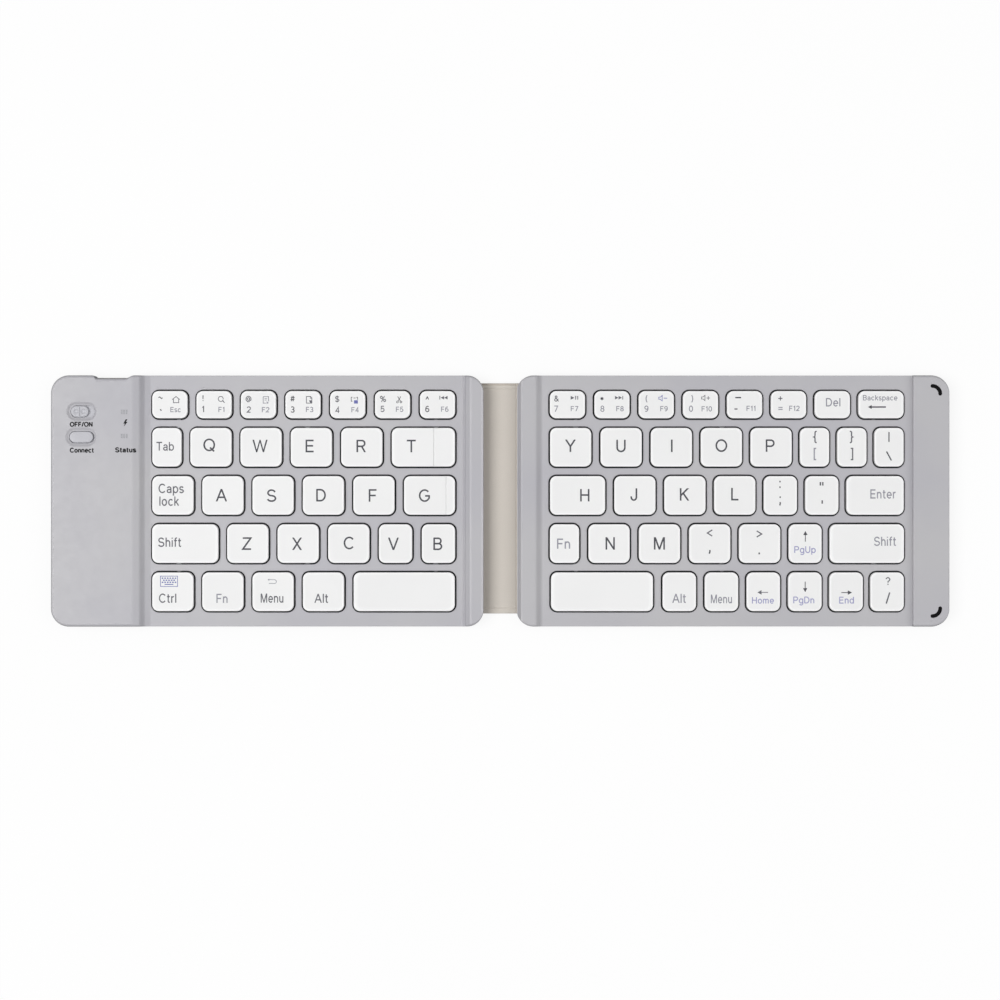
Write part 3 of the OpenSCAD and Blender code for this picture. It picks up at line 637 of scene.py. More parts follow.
def build_frame(side):
    sign = -1 if side == "left" else 1
    me = frame_blank(side)
    me = cut(me, bull_prism(side), "INTERSECT")
    if side == "right":
        me.transform(Matrix.Scale(-1, 4, (1, 0, 0)))
        me.flip_normals()
    # space inside, less the bosses
    if side == "left":
        inner = joined("in", [boxv(-123.7, -12.2, -YO + 1.4, YO - 1.4, -1, Z_IN)])
        inner = cut(inner, joined("in2", [endv(side, -123.6, -YO + 1.4, YO - 1.9, -1, Z_IN)]), "UNION")
        inner = cut(inner, joined("in3", [endv(side, -126.3, -YO + 1.4, YO - 1.9, 3, Z_ROOF)]), "UNION")
        inner = cut(inner, joined("slot", [boxv(-12.4, -9, -6.4, 6.4, 0, 2.0)]), "UNION")
        solid = [tube(x, y, 1.2, 1.4, Z_IN + 0.2) for x, y in LB] + [tube(x, y, 1.5, 1.4, Z_ROOF + 0.2) for x, y in LPB] + [tube(x, y, 1.5, 2.7, Z_ROOF + 0.2) for x, y in POSTS]
        bores = [tube(x, y, 0.63, 1.3, Z_IN - 0.2, 24) for x, y in LB] + [tube(x, y, 0.63, 1.3, Z_IN + 0.5, 24) for x, y in LPB] + [tube(x, y, 0.63, 2.6, 5.1, 24) for x, y in POSTS]
    else:
        inner = joined("in", [boxv(12.2, 141.7, -YO + 1.4, YO - 1.4, -1, Z_IN)])
        inner = cut(inner, joined("in2", [endv(side, -141.6, -YO + 1.4, YO - 1.4, -1, Z_IN)]), "UNION")
        inner = cut(inner, joined("in3", [endv(side, -143.9, -YO + 1.4, YO - 1.4, 3, Z_ROOF)]), "UNION")
        inner = cut(inner, joined("slot", [boxv(9, 12.4, -6.4, 6.4, 0, 2.0)]), "UNION")
        solid = [tube(x, y, 1.2, 1.4, Z_IN + 0.2) for x, y in RB] + [tube(x, y, 1.5, 1.4, Z_ROOF + 0.2) for x, y in RPB]
        bores = [tube(x, y, 0.63, 1.3, Z_IN - 0.2, 24) for x, y in RB] + [tube(x, y, 0.63, 1.3, Z_IN + 0.5, 24) for x, y in RPB]
    inner = cut(inner, joined("bosses", solid))
    me = cut(me, inner)
    me = cut(me, joined("bores", bores))
    me = cut(me, joined("wells", [well(x, y, w, h) for r, i, x, y, w, h in keys_of(side)]))
    if side == "left":
        me = cut(me, joined("dish1", [dish(SLIDER[0] + 0.75, SLIDER[1], 10.5, 6.7, 0.5, 8.4, 4.4)]))
        me = cut(me, joined("dish2", [dish(BUTTON[0], BUTTON[1], 11.0, 6.8, 0.45, 8.6, 4.4)]))
        me = cut(me, joined("slot1", [hole(SLIDER[0] + 1.0, SLIDER[1] - 0.07, 8.3, 4.2, 5, 9, lip=0.15, lip_z=POD - 0.49),
                                      hole(BUTTON[0] + 0.12, BUTTON[1] - 0.09, 8.6, 4.22, 5, 9, lip=0.12, lip_z=POD - 0.44)]))
        me = cut(me, joined("slits", [hole(LED_X + 0.85 * k, y, 0.5, 1.4, 5, 9, r=0.12, n=3) for y in LED_Y for k in (-1, 0, 1)]))
        # finger notch over the socket: steep at its left end, gentle at its right end
        d = [(-138.8, 0.012), (-138.3, -0.1), (-137.9, -0.5), (-137.45, -0.9), (-137.0, -1.0)]
        d += [(-136 + 8.4 * i / 6, -1.02) for i in range(7)]
        d += [(-127.1, -0.98), (-126.6, -0.8), (-126.0, -0.5), (-125.4, -0.22), (-124.8, -0.06), (-124.2, 0.012)]
        n = len(d)
        rings = []
        for z, o in ((-1, 0), (POD - 1.0, 0), (POD - 0.62, 0.08), (POD - 0.3, 0.3), (POD - 0.1, 0.62), (POD + 0.02, 1.15), (POD + 0.5, 1.5)):
            rings.append([(x, YO + y - o * min(1.0, -y if y < 0 else 0), z) for x, y in d] + [(-124.2, YO + 2, z), (-138.8, YO + 2, z)])
        me = cut(me, joined("notch", [loft(rings)]))
        me = cut(me, joined("usb", [y_tube(USB_X, USB_Z, 8.0, 2.95, 1.2, YO - 3, YO + 1)]))
    else:
        parts = [bumper_solid(s, 0.65, POD - 0.8, 9) for s in (1, -1)]
        me = cut(me, joined("bumper_seats", parts))
    me = clean(me, 1e-6, recalc=False)
    ob = add(side + "_frame_moulding", me, [FRAME, WELL_SHADE])
    # the key-well walls below the deck take the dark colour: painted shade in the gaps round the keys
    wells = [(x, y, w / 2 + GAP + 0.22, h / 2 + GAP + 0.22) for r, i, x, y, w, h in keys_of(side)]
    for f in me.polygons:
        c = f.center / MM
        f.material_index = int(Z_IN < c.z < DECK - 0.06 and abs(f.normal.z) < 0.9 and any(abs(c.x - x) < a and abs(c.y - y) < b for x, y, a, b in wells))
    smooth(ob, 40)
    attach(ob, side + "_half")
    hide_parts(side + "_frame")
    return ob


def bumper_outline(hw, n=14):
    """outline of the corner arc, counter-clockwise, about the corner's centre, in the quarter towards +X +Y"""
    r = 2.65
    out = arc(0, 0, r + hw, 0, 90, n)
    out += arc(0, r, hw, 90, 270, 8)[1:-1]
    out += arc(0, 0, r - hw, 90, 0, n)
    out += arc(r, 0, hw, 180, 360, 8)[1:-1]
    return out


def bumper_solid(side, hw, z0, z1):
    o = bumper_outline(hw)
    v, f = loft([ring(o, z0), ring(o, z1)])
    cx, cy = XO - CORNER + 0.3, YO - CORNER - 0.2
    if side > 0:
        return [(cx + x, cy + y, z) for x, y, z in v], f
    return [(cx + x, -cy - y, z) for x, y, z in v], [tuple(reversed(g)) for g in f]


def build_bumper(side, name, node):
    rings = []
    for z, hw in ((POD - 0.78, 0.53), (POD - 0.7, 0.6), (POD - 0.05, 0.6), (POD + 0.06, 0.57), (POD + 0.13, 0.48), (POD + 0.18, 0.3), (POD + 0.197, 0.1)):
        rings.append(ring(bumper_outline(hw), z))
    v, f = loft(rings)
    cx, cy = XO - CORNER + 0.3, YO - CORNER - 0.2
    if side > 0:
        v = [(cx + x, cy + y, z) for x, y, z in v]
    else:
        v, f = [(cx + x, -cy - y, z) for x, y, z in v], [tuple(reversed(g)) for g in f]
    ob = add(name, clean(to_mesh(name, v, f)), RUBBER)
    smooth(ob, 50)
    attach(ob, "right_half")
    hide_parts(node)


# ---------------------------------------------------------------- keycaps and legends
DISH = 0.07


def top_at(x, y, w, h):
    """height of a keycap's top at a place measured from its middle"""
    s = min(max(abs(x) / (w / 2 - 0.4), abs(y) / (h / 2 - 0.4)), 1.0)
    return KTOP - DISH * (1 - s * s)


def build_keycap(name, body, node, x, y, w, h):
    f = 0.33
    rings = [ring(rr(w - 2, h - 2, KR - 0.9, 8), KTOP - KPLATE, x, y),
             ring(rr(w - 2, h - 2, KR - 0.9, 8), KBOT + 0.1, x, y),
             ring(rr(w - 1.8, h - 1.8, KR - 0.8, 8), KBOT, x, y),
             ring(rr(w - 0.3, h - 0.3, KR - 0.1, 8), KBOT, x, y),
             ring(rr(w - 0.04, h - 0.04, KR, 8), KBOT + 0.13, x, y)]
    rim_highlight = [0.0, 0.0, 0.0, 0.0, 0.0]
    # rounded top edge: its 'rim' weight rises towards 1 for the painted highlight
    for k in range(7):
        a = math.radians(90 * k / 6)
        e = 0.0 + f * (1 - math.cos(a))
        rings.append(ring(rr(w - 2 * e, h - 2 * e, KR - e * 0.6, 8), KTOP - f * (1 - math.sin(a)), x, y))
        rim_highlight.append(min(1.0, 0.3 + 0.7 * math.sin(a)))
    o = rr(w - 2 * f, h - 2 * f, KR - f * 0.6, 8)
    furrow = {"keycap_left_2_6": px(433.8, 0)[0], "keycap_left_3_6": px(446.2, 0)[0]}.get(name)
    # on the top face the painted highlight fades out inward from the edge
    for s, v in ((0.965, 0.5), (0.92, 0.05), (0.8, 0.0), (0.6, 0.0), (0.4, 0.0), (0.2, 0.0), (0.08, 0.0)):
        rings.append(ring(o, KTOP - DISH * (1 - s * s), x, y, s))
        rim_highlight.append(v)
    n = len(o)
    v, fc = loft(rings)
    # the first ring is the roof of the hollow, so its cap looks down into the hollow
    me = to_mesh(name, v, fc)
    rim = [rim_highlight[k] for k in range(len(rings)) for _ in range(n)]
    if furrow is not None:  # the fine furrow that crosses this key from back to front
        near = KDTree(len(me.vertices))
        for q in me.vertices:
            near.insert(q.co, q.index)
        near.balance()
        r = 0.17
        me = cut(me, joined("furrow", [y_tube(furrow, KTOP - 0.42 + 0.5, 2 * r, 1.0, r - 0.001, y - h / 2 - 1, y + h / 2 + 1, 16)]))
        rim = [rim[near.find(q.co)[1]] for q in me.vertices]
        for q in me.vertices:  # the painted highlight of the rim is kept out of it
            if abs(q.co.x - furrow) < r + 0.01:
                rim[q.index] = 0.0
    # the painted highlight weight, stored per point
    at = me.attributes.new("rim", "FLOAT", "POINT")
    at.data.foreach_set("value", rim)
    ob = add(name, me, KEYCAP)
    bm = bmesh.new()
    bm.from_mesh(me)
    bmesh.ops.recalc_face_normals(bm, faces=bm.faces)
    bm.to_mesh(me)
    bm.free()
    smooth(ob, 42)
    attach(ob, body)
    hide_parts(node)
    return ob


def ribbon(pts, w, closed=False):
    """a stroke of width w along a polyline, mitred"""
    n = len(pts)
    left, right = [], []
    for i in range(n):
        a = pts[i - 1] if (i > 0 or closed) else None
        b = pts[i]
        c = pts[(i + 1) % n] if (i < n - 1 or closed) else None
        d = []
        for p, q in ((a, b), (b, c)):
            if p is not None and q is not None:
                l = math.hypot(q[0] - p[0], q[1] - p[1]) or 1.0
                d.append(((q[0] - p[0]) / l, (q[1] - p[1]) / l))
        if len(d) == 2:
            nx, ny = -(d[0][1] + d[1][1]), d[0][0] + d[1][0]
            l = math.hypot(nx, ny) or 1.0
            nx, ny = nx / l, ny / l
            cosh = nx * -d[0][1] + ny * d[0][0]
            k = 1.0 / max(cosh, 0.35)
        else:
            nx, ny, k = -d[0][1], d[0][0], 1.0
        left.append((b[0] + nx * k * w / 2, b[1] + ny * k * w / 2))
        right.append((b[0] - nx * k * w / 2, b[1] - ny * k * w / 2))
    v = left + right
    f = []
    for i in range(n if closed else n - 1):
        j = (i + 1) % n
        f.append((n + i, n + j, j, i))
    return v, f


def poly(pts):
    a = sum(pts[i][0] * pts[(i + 1) % len(pts)][1] - pts[(i + 1) % len(pts)][0] * pts[i][1] for i in range(len(pts)))
    return pts, [tuple(range(len(pts))) if a > 0 else tuple(range(len(pts) - 1, -1, -1))]


def place(shape, cx, cy, k=1.0):
    return [(cx + p[0] * k, cy + p[1] * k, p[2]) for p in shape[0]], shape[1]


def thick(flat, z_of, t=0.022, sink=0.02):
    """a flat shape as a closed thin layer lying on the surface z_of(x, y)"""
    v2, f2 = flat
    n = len(v2)
    v = [(x, y, z_of(x, y) - sink) for x, y in v2] + [(x, y, z_of(x, y) + t) for x, y in v2]
    f = [tuple(reversed(g)) for g in f2] + [tuple(i + n for i in g) for g in f2]
    count = {}
    for g in f2:
        for i in range(len(g)):
            a, b = g[i], g[(i + 1) % len(g)]
            count[(a, b)] = count.get((a, b), 0) + 1
    for (a, b) in count:
        if (b, a) not in count:
            f.append((a, b, b + n, a + n))
    return v, f


def print_layer(name, body, mats, shapes):
    """shapes: [(solid, z_of, material index)] laid on the surface z_of(x, y) and joined into one piece"""
    verts, faces, idx = [], [], []
    for (v, f), z_of, mi in shapes:
        n = len(verts)
        verts += [(x, y, z_of(x, y) + (0.022 if z > 0.5 else -0.02)) for x, y, z in v]
        faces += [tuple(i + n for i in g) for g in f]
        idx += [mi] * len(f)
    me = bpy.data.meshes.new(name)
    me.from_pydata([(x * MM, y * MM, z * MM) for x, y, z in verts], [], faces)
    ob = add(name, me, mats)
    me.polygons.foreach_set("material_index", idx)
    me.update()
    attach(ob, body)
    return ob


def outline(*items):
    """a centre line from points (x, y) and elliptical arcs (cx, cy, rx, ry, from, to)"""
    out = []
    for p in items:
        if len(p) == 2:
            out.append(p)
        else:
            cx, cy, rx, ry, a0, a1 = p
            n = max(4, int(abs(a1 - a0) / 13))
            for i in range(n + 1):
                a = math.radians(a0 + (a1 - a0) * i / n)
                q = (cx + rx * math.cos(a), cy + ry * math.sin(a))
                if not out or math.hypot(q[0] - out[-1][0], q[1] - out[-1][1]) > 0.02:
                    out.append(q)
    return out


O = outline
# a plain even-stroke alphabet: {letter: (width, centre lines)}, capitals 10 high, small letters 7.2 high
GLYPHS = {
    "A": (8.6, [O((0.2, -0.6), (4.3, 9.9), (8.4, -0.6)), O((1.7, 3.3), (6.9, 3.3))]),
    "B": (7.6, [O((0.9, 0), (0.9, 10)), O((0.9, 9.45), (4.2, 9.45), (4.2, 7.3, 2.15, 2.15, 90, -90), (0.9, 5.15)), O((0.9, 5.15), (4.4, 5.15), (4.4, 2.85, 2.4, 2.3, 90, -90), (0.9, 0.55))]),
    "C": (8.6, [O((4.65, 5, 3.9, 4.5, 40, 320))]),
    "D": (8.2, [O((0.9, 0), (0.9, 10)), O((0.9, 9.45), (3.6, 9.45), (3.6, 5, 3.8, 4.45, 90, -90), (0.9, 0.55))]),
    "E": (7.2, [O((6.7, 9.45), (0.9, 9.45), (0.9, 0.55), (6.8, 0.55)), O((0.9, 5.15), (6.3, 5.15))]),
    "F": (6.8, [O((6.5, 9.45), (0.9, 9.45), (0.9, 0)), O((0.9, 5.0), (5.9, 5.0))]),
    "G": (9.0, [O((4.7, 5, 4.0, 4.5, 42, 336), (8.35, 4.75), (5.1, 4.75))]),
    "H": (8.0, [O((0.9, 0), (0.9, 10)), O((7.1, 0), (7.1, 10)), O((0.9, 5.15), (7.1, 5.15))]),
    "I": (1.8, [O((0.9, 0), (0.9, 10))]),
    "J": (5.8, [O((5.0, 10), (5.0, 3.0), (2.9, 3.0, 2.1, 2.5, 0, -180), (0.8, 3.5))]),
    "K": (7.6, [O((0.9, 0), (0.9, 10)), O((7.4, 10.6), (0.95, 4.0)), O((2.9, 6.0), (7.5, -0.6))]),
    "L": (6.3, [O((0.9, 10), (0.9, 0.55), (6.1, 0.55))]),
    "M": (9.4, [O((0.9, 0), (0.9, 10)), O((8.5, 0), (8.5, 10)), O((0.9, 10.8), (4.7, 0.2), (8.5, 10.8))]),
    "N": (8.0, [O((0.9, 0), (0.9, 10)), O((7.1, 0), (7.1, 10)), O((0.6, 10.3), (7.4, -0.3))]),
    "O": (9.5, ["c", O((4.75, 5, 4.1, 4.5, 0, 360))]),
    "P": (7.4, [O((0.9, 0), (0.9, 10)), O((0.9, 9.45), (4.3, 9.45), (4.3, 7.0, 2.45, 2.45, 90, -90), (0.9, 4.55))]),
    "Q": (9.5, ["c", O((4.75, 5, 4.1, 4.5, 0, 360)), O((5.4, 2.9), (8.7, -0.2))]),
    "R": (7.9, [O((0.9, 0), (0.9, 10)), O((0.9, 9.45), (4.5, 9.45), (4.5, 7.1, 2.4, 2.35, 90, -90), (0.9, 4.75)), O((4.4, 4.75), (7.5, -0.6))]),
    "S": (7.8, [O((3.9, 7.2, 2.85, 2.25, 15, 270), (3.9, 2.75, 3.2, 2.2, 90, -165))]),
    "T": (7.4, [O((0.1, 9.45), (7.3, 9.45)), O((3.7, 9.45), (3.7, 0))]),
    "U": (8.0, [O((0.9, 10), (0.9, 3.6), (4.0, 3.6, 3.1, 3.05, 180, 360), (7.1, 10))]),
    "V": (8.2, [O((0.2, 10.6), (4.1, 0.1), (8.0, 10.6))]),
    "W": (11.6, [O((0.2, 10.6), (3.1, 0.2), (5.8, 9.8), (8.5, 0.2), (11.4, 10.6))]),
    "X": (7.8, [O((0.3, 10.6), (7.5, -0.6)), O((7.5, 10.6), (0.3, -0.6))]),
    "Y": (8.0, [O((0.0, 10.6), (4.0, 4.5), (8.0, 10.6)), O((4.0, 4.7), (4.0, 0))]),
    "Z": (7.6, [O((0.5, 9.45), (7.0, 9.45), (0.6, 0.55), (7.2, 0.55))]),
    "a": (6.0, [O((2.95, 4.75, 2.15, 1.9, 165, 0), (5.1, 1.3), (5.3, 0.5), (5.8, 0.5)), O((5.1, 3.95), (3.6, 3.8), (2.55, 2.15, 1.85, 1.65, 90, 270), (2.7, 2.8, 2.4, 2.3, 270, 335))]),
    "b": (6.6, [O((0.8, 0), (0.8, 10)), "c", O((3.4, 3.6, 2.6, 3.15, 0, 360))]),
    "c": (6.1, [O((3.3, 3.6, 2.6, 3.15, 42, 318))]),
    "d": (6.6, [O((5.9, 0), (5.9, 10)), "c", O((3.3, 3.6, 2.6, 3.15, 0, 360))]),
    "e": (6.5, [O((0.8, 3.6), (5.85, 3.6), (3.3, 3.6, 2.55, 3.15, 3, 318))]),
    "f": (3.7, [O((3.8, 9.5), (3.0, 8.2, 1.3, 1.3, 90, 180), (1.7, 0)), O((0.2, 6.75), (3.7, 6.75))]),
    "g": (6.6, ["c", O((3.3, 3.6, 2.6, 3.15, 0, 360)), O((5.9, 7.2), (5.9, -0.6), (3.4, -0.6, 2.5, 1.9, 0, -155))]),
    "h": (6.1, [O((0.8, 0), (0.8, 10)), O((0.8, 4.2), (3.0, 4.3, 2.2, 2.4, 180, 0), (5.2, 0))]),
    "i": (1.6, [O((0.8, 0), (0.8, 7.2)), O((0.8, 8.7), (0.8, 10))]),
    "k": (5.6, [O((0.8, 0), (0.8, 10)), O((5.0, 7.2), (0.85, 2.9)), O((2.3, 4.3), (5.4, 0))]),
    "l": (1.6, [O((0.8, 0), (0.8, 10))]),
    "m": (9.4, [O((0.8, 0), (0.8, 7.2)), O((0.8, 4.6), (2.7, 4.6, 1.9, 2.15, 180, 0), (4.6, 0)), O((4.6, 4.6), (6.5, 4.6, 1.9, 2.15, 180, 0), (8.4, 0))]),
    "n": (6.1, [O((0.8, 0), (0.8, 7.2)), O((0.8, 4.2), (3.0, 4.3, 2.2, 2.4, 180, 0), (5.2, 0))]),
    "o": (6.6, ["c", O((3.3, 3.6, 2.6, 3.15, 0, 360))]),
    "p": (6.6, [O((0.8, -2.8), (0.8, 7.2)), "c", O((3.4, 3.6, 2.6, 3.15, 0, 360))]),
    "r": (3.7, [O((0.8, 0), (0.8, 7.2)), O((0.8, 4.2), (3.2, 4.4, 2.4, 2.35, 180, 90), (3.6, 6.75))]),
    "s": (5.5, [O((2.7, 5.15, 2.0, 1.6, 20, 270), (2.7, 2.0, 2.2, 1.55, 90, -160))]),
    "t": (3.8, [O((1.6, 9.3), (1.6, 1.8), (2.9, 1.8, 1.3, 1.3, 180, 270), (3.7, 0.5)), O((0.1, 6.75), (3.6, 6.75))]),
    "u": (5.9, [O((0.8, 7.2), (0.8, 2.7), (2.9, 2.7, 2.1, 2.2, 180, 360)), O((5.0, 7.2), (5.0, 0))]),
    "0": (6.7, ["c", O((3.35, 5, 2.7, 4.5, 0, 360))]),
    "1": (4.6, [O((0.8, 7.6), (3.1, 9.3), (3.1, 0))]),
    "2": (6.8, [O((3.4, 6.9, 2.65, 2.6, 165, -40), (0.8, 0.55), (6.3, 0.55))]),
    "3": (6.7, [O((3.2, 7.25, 2.4, 2.25, 150, -90), (2.4, 5.0)), O((3.2, 2.75, 2.65, 2.25, 90, -155))]),
    "4": (6.8, [O((4.8, 0), (4.8, 9.4), (0.7, 2.8), (6.5, 2.8))]),
    "5": (6.6, [O((5.8, 9.45), (1.6, 9.45), (1.0, 4.9), (3.2, 3.3, 2.75, 2.8, 140, -155))]),
    "6": (6.8, ["c", O((3.4, 3.2, 2.6, 2.7, 0, 360)), O((0.8, 3.4), (3.9, 5.0, 3.1, 4.5, 180, 60))]),
    "7": (6.5, [O((0.6, 9.45), (6.1, 9.45), (2.3, 0))]),
    "8": (6.8, ["c", O((3.4, 7.3, 2.15, 2.2, 0, 360)), "c", O((3.4, 2.75, 2.6, 2.3, 0, 360))]),
    "9": (6.8, ["c", O((3.4, 6.8, 2.6, 2.7, 0, 360)), O((6.0, 6.6), (2.9, 5.0, 3.1, 4.5, 0, -120))]),
    "/": (3.9, [O((0.3, -0.3), (3.6, 10.3))]),
    "\\": (6.0, [O((0.3, 10.0), (5.7, 0.0))]),
    "~": (7.6, [O(*[(0.4 + 6.6 * i / 12, 5 + 1.2 * math.sin(2 * math.pi * i / 12)) for i in range(13)])]),
    "`": (3.0, [O((0.5, 10), (2.3, 7.6))]),
    "!": (1.8, [O((0.9, 3.2), (0.9, 10)), O((0.9, 0), (0.9, 1.5))]),
    "@": (10.4, ["c", O((5.0, 4.8, 1.9, 2.3, 0, 360)), O((6.9, 7.1), (6.9, 3.4), (8.15, 3.4, 1.25, 1.2, 180, 360), (5.0, 4.8, 4.4, 4.9, 8, 300))]),
    "#": (8.2, [O((2.2, 0.2), (3.4, 9.8)), O((5.0, 0.2), (6.2, 9.8)), O((0.6, 3.3), (7.3, 3.3)), O((1.0, 6.7), (7.8, 6.7))]),
    "$": (7.8, [O((3.9, 7.2, 2.85, 2.25, 15, 270), (3.9, 2.75, 3.2, 2.2, 90, -165)), O((3.9, -1.0), (3.9, 11.0))]),
    "%": (10.2, ["c", O((2.2, 7.6, 1.7, 2.1, 0, 360)), "c", O((8.0, 2.4, 1.7, 2.1, 0, 360)), O((2.4, -0.2), (7.8, 10.2))]),
    "^": (6.0, [O((0.7, 5.4), (3.0, 9.6), (5.3, 5.4))]),
    "&": (8.2, [O((7.6, 0.1), (2.1, 6.6), (3.3, 7.75, 1.6, 1.7, 215, -50), (1.9, 4.5), (3.0, 2.5, 2.2, 2.05, 140, 300), (7.0, 4.6))]),
    "*": (5.0, [O((2.5, 5.6), (2.5, 10.2)), O((0.5, 6.75), (4.5, 9.05)), O((0.5, 9.05), (4.5, 6.75))]),
    "(": (3.2, [O((4.6, 4, 3.7, 6.6, 118, 242))]),
    ")": (3.2, [O((-1.4, 4, 3.7, 6.6, 62, -62))]),
    "_": (6.4, [O((0, 5), (6.4, 5))]),
    "-": (4.2, [O((0.2, 5), (4.0, 5))]),
    "+": (7.2, [O((0.4, 5), (6.8, 5)), O((3.6, 1.8), (3.6, 8.2))]),
    "=": (7.2, [O((0.4, 3.5), (6.8, 3.5)), O((0.4, 6.5), (6.8, 6.5))]),
    "{": (3.8, [O((3.6, 10.3), (2.95, 8.9, 1.25, 1.4, 90, 180), (1.7, 5.6), (1.4, 4.6), (0.4, 4.1), (1.4, 3.6), (1.7, 2.6), (2.95, -0.7, 1.25, 1.4, 180, 270), (3.6, -2.1))]),
    "}": (3.8, [O((0.2, 10.3), (0.85, 8.9, 1.25, 1.4, 90, 0), (2.1, 5.6), (2.4, 4.6), (3.4, 4.1), (2.4, 3.6), (2.1, 2.6), (0.85, -0.7, 1.25, 1.4, 0, -90), (0.2, -2.1))]),
    "[": (3.4, [O((3.0, 10.3), (0.9, 10.3), (0.9, -2.1), (3.0, -2.1))]),
    "]": (3.4, [O((0.4, 10.3), (2.5, 10.3), (2.5, -2.1), (0.4, -2.1))]),
    "|": (1.8, [O((0.9, -2.1), (0.9, 10.4))]),
    ":": (1.8, [O((0.9, 0), (0.9, 1.7)), O((0.9, 6.3), (0.9, 8.0))]),
    ";": (1.8, [O((0.9, 1.7), (0.9, 0.0), (0.4, -2.0)), O((0.9, 6.3), (0.9, 8.0))]),
    "\"": (4.4, [O((0.9, 10), (0.9, 6.4)), O((3.5, 10), (3.5, 6.4))]),
    "'": (1.8, [O((0.9, 10), (0.9, 6.4))]),
    "<": (7.2, [O((6.7, 8.6), (0.9, 5.0), (6.7, 1.4))]),
    ">": (7.2, [O((0.5, 8.6), (6.3, 5.0), (0.5, 1.4))]),
    ",": (1.8, [O((0.9, 1.7), (0.9, 0.0), (0.3, -2.0))]),
    ".": (1.8, [O((0.9, 0), (0.9, 1.7))]),
    "?": (6.2, [O((3.1, 7.2, 2.4, 2.3, 170, -40), (3.2, 4.3), (3.1, 2.9)), O((3.1, 0), (3.1, 1.6))]),
}
CLIP = set("AKMNRVWXY")
_solid = {}


def fused(flats, clip=None):
    """flat shapes as one solid with a lower face at 0 and an upper face at 1, given as (verts, faces)"""
    me = None
    for v2, f2 in flats:
        v, f = thick((v2, f2), lambda x, y: 0.0, 1.0, 0.0)
        part = bpy.data.meshes.new("s")
        part.from_pydata(v, [], f)
        me = part if me is None else cut(me, part, "UNION")
    if clip:
        v, f = boxv(-50, 50, clip[0], clip[1], -1, 2)
        part = bpy.data.meshes.new("b")
        part.from_pydata(v, [], f)
        me = cut(me, part, "INTERSECT")
    bm = bmesh.new()
    bm.from_mesh(me)
    bmesh.ops.remove_doubles(bm, verts=bm.verts, dist=1e-4)
    bmesh.ops.recalc_face_normals(bm, faces=bm.faces)
    out = ([tuple(q.co) for q in bm.verts], [tuple(q.index for q in g.verts) for g in bm.faces])
    bm.free()
    bpy.data.meshes.remove(me)
    return out


def glyph(ch, weight):
    key = (ch, round(weight, 1))
    if key not in _solid:
        flats, closed = [], False
        for st in GLYPHS[ch][1]:
            if st == "c":
                closed = True
                continue
            if closed:
                st = st[:-1] if math.hypot(st[0][0] - st[-1][0], st[0][1] - st[-1][1]) < 0.05 else st
            flats.append(ribbon(st, key[1], closed))
            closed = False
        _solid[key] = fused(flats, (0, 10) if ch in CLIP else None)
    return _solid[key]


def words(s, cx, cy, cap, squeeze=1.0, weight=None, gap=1.3):
    """letters in millimetres about (cx, cy), capitals cap high; returns solids with z 0 or 1"""
    weight = (weight or 0.115 * cap + 0.07) / cap * 10
    x, out, lo, hi = 0.0, [], [], []
    for ch in s:
        v, f = glyph(ch, weight)
        out.append(([(p[0] + x, p[1], p[2]) for p in v], f))
        x += GLYPHS[ch][0] + gap
    pts = [p for v, f in out for p in v]
    mx = (min(p[0] for p in pts) + max(p[0] for p in pts)) / 2
    my = (min(p[1] for p in pts) + max(p[1] for p in pts)) / 2
    k = cap / 10
    return [([(cx + (p[0] - mx) * k * squeeze, cy + (p[1] - my) * k, p[2]) for p in v], f) for v, f in out]


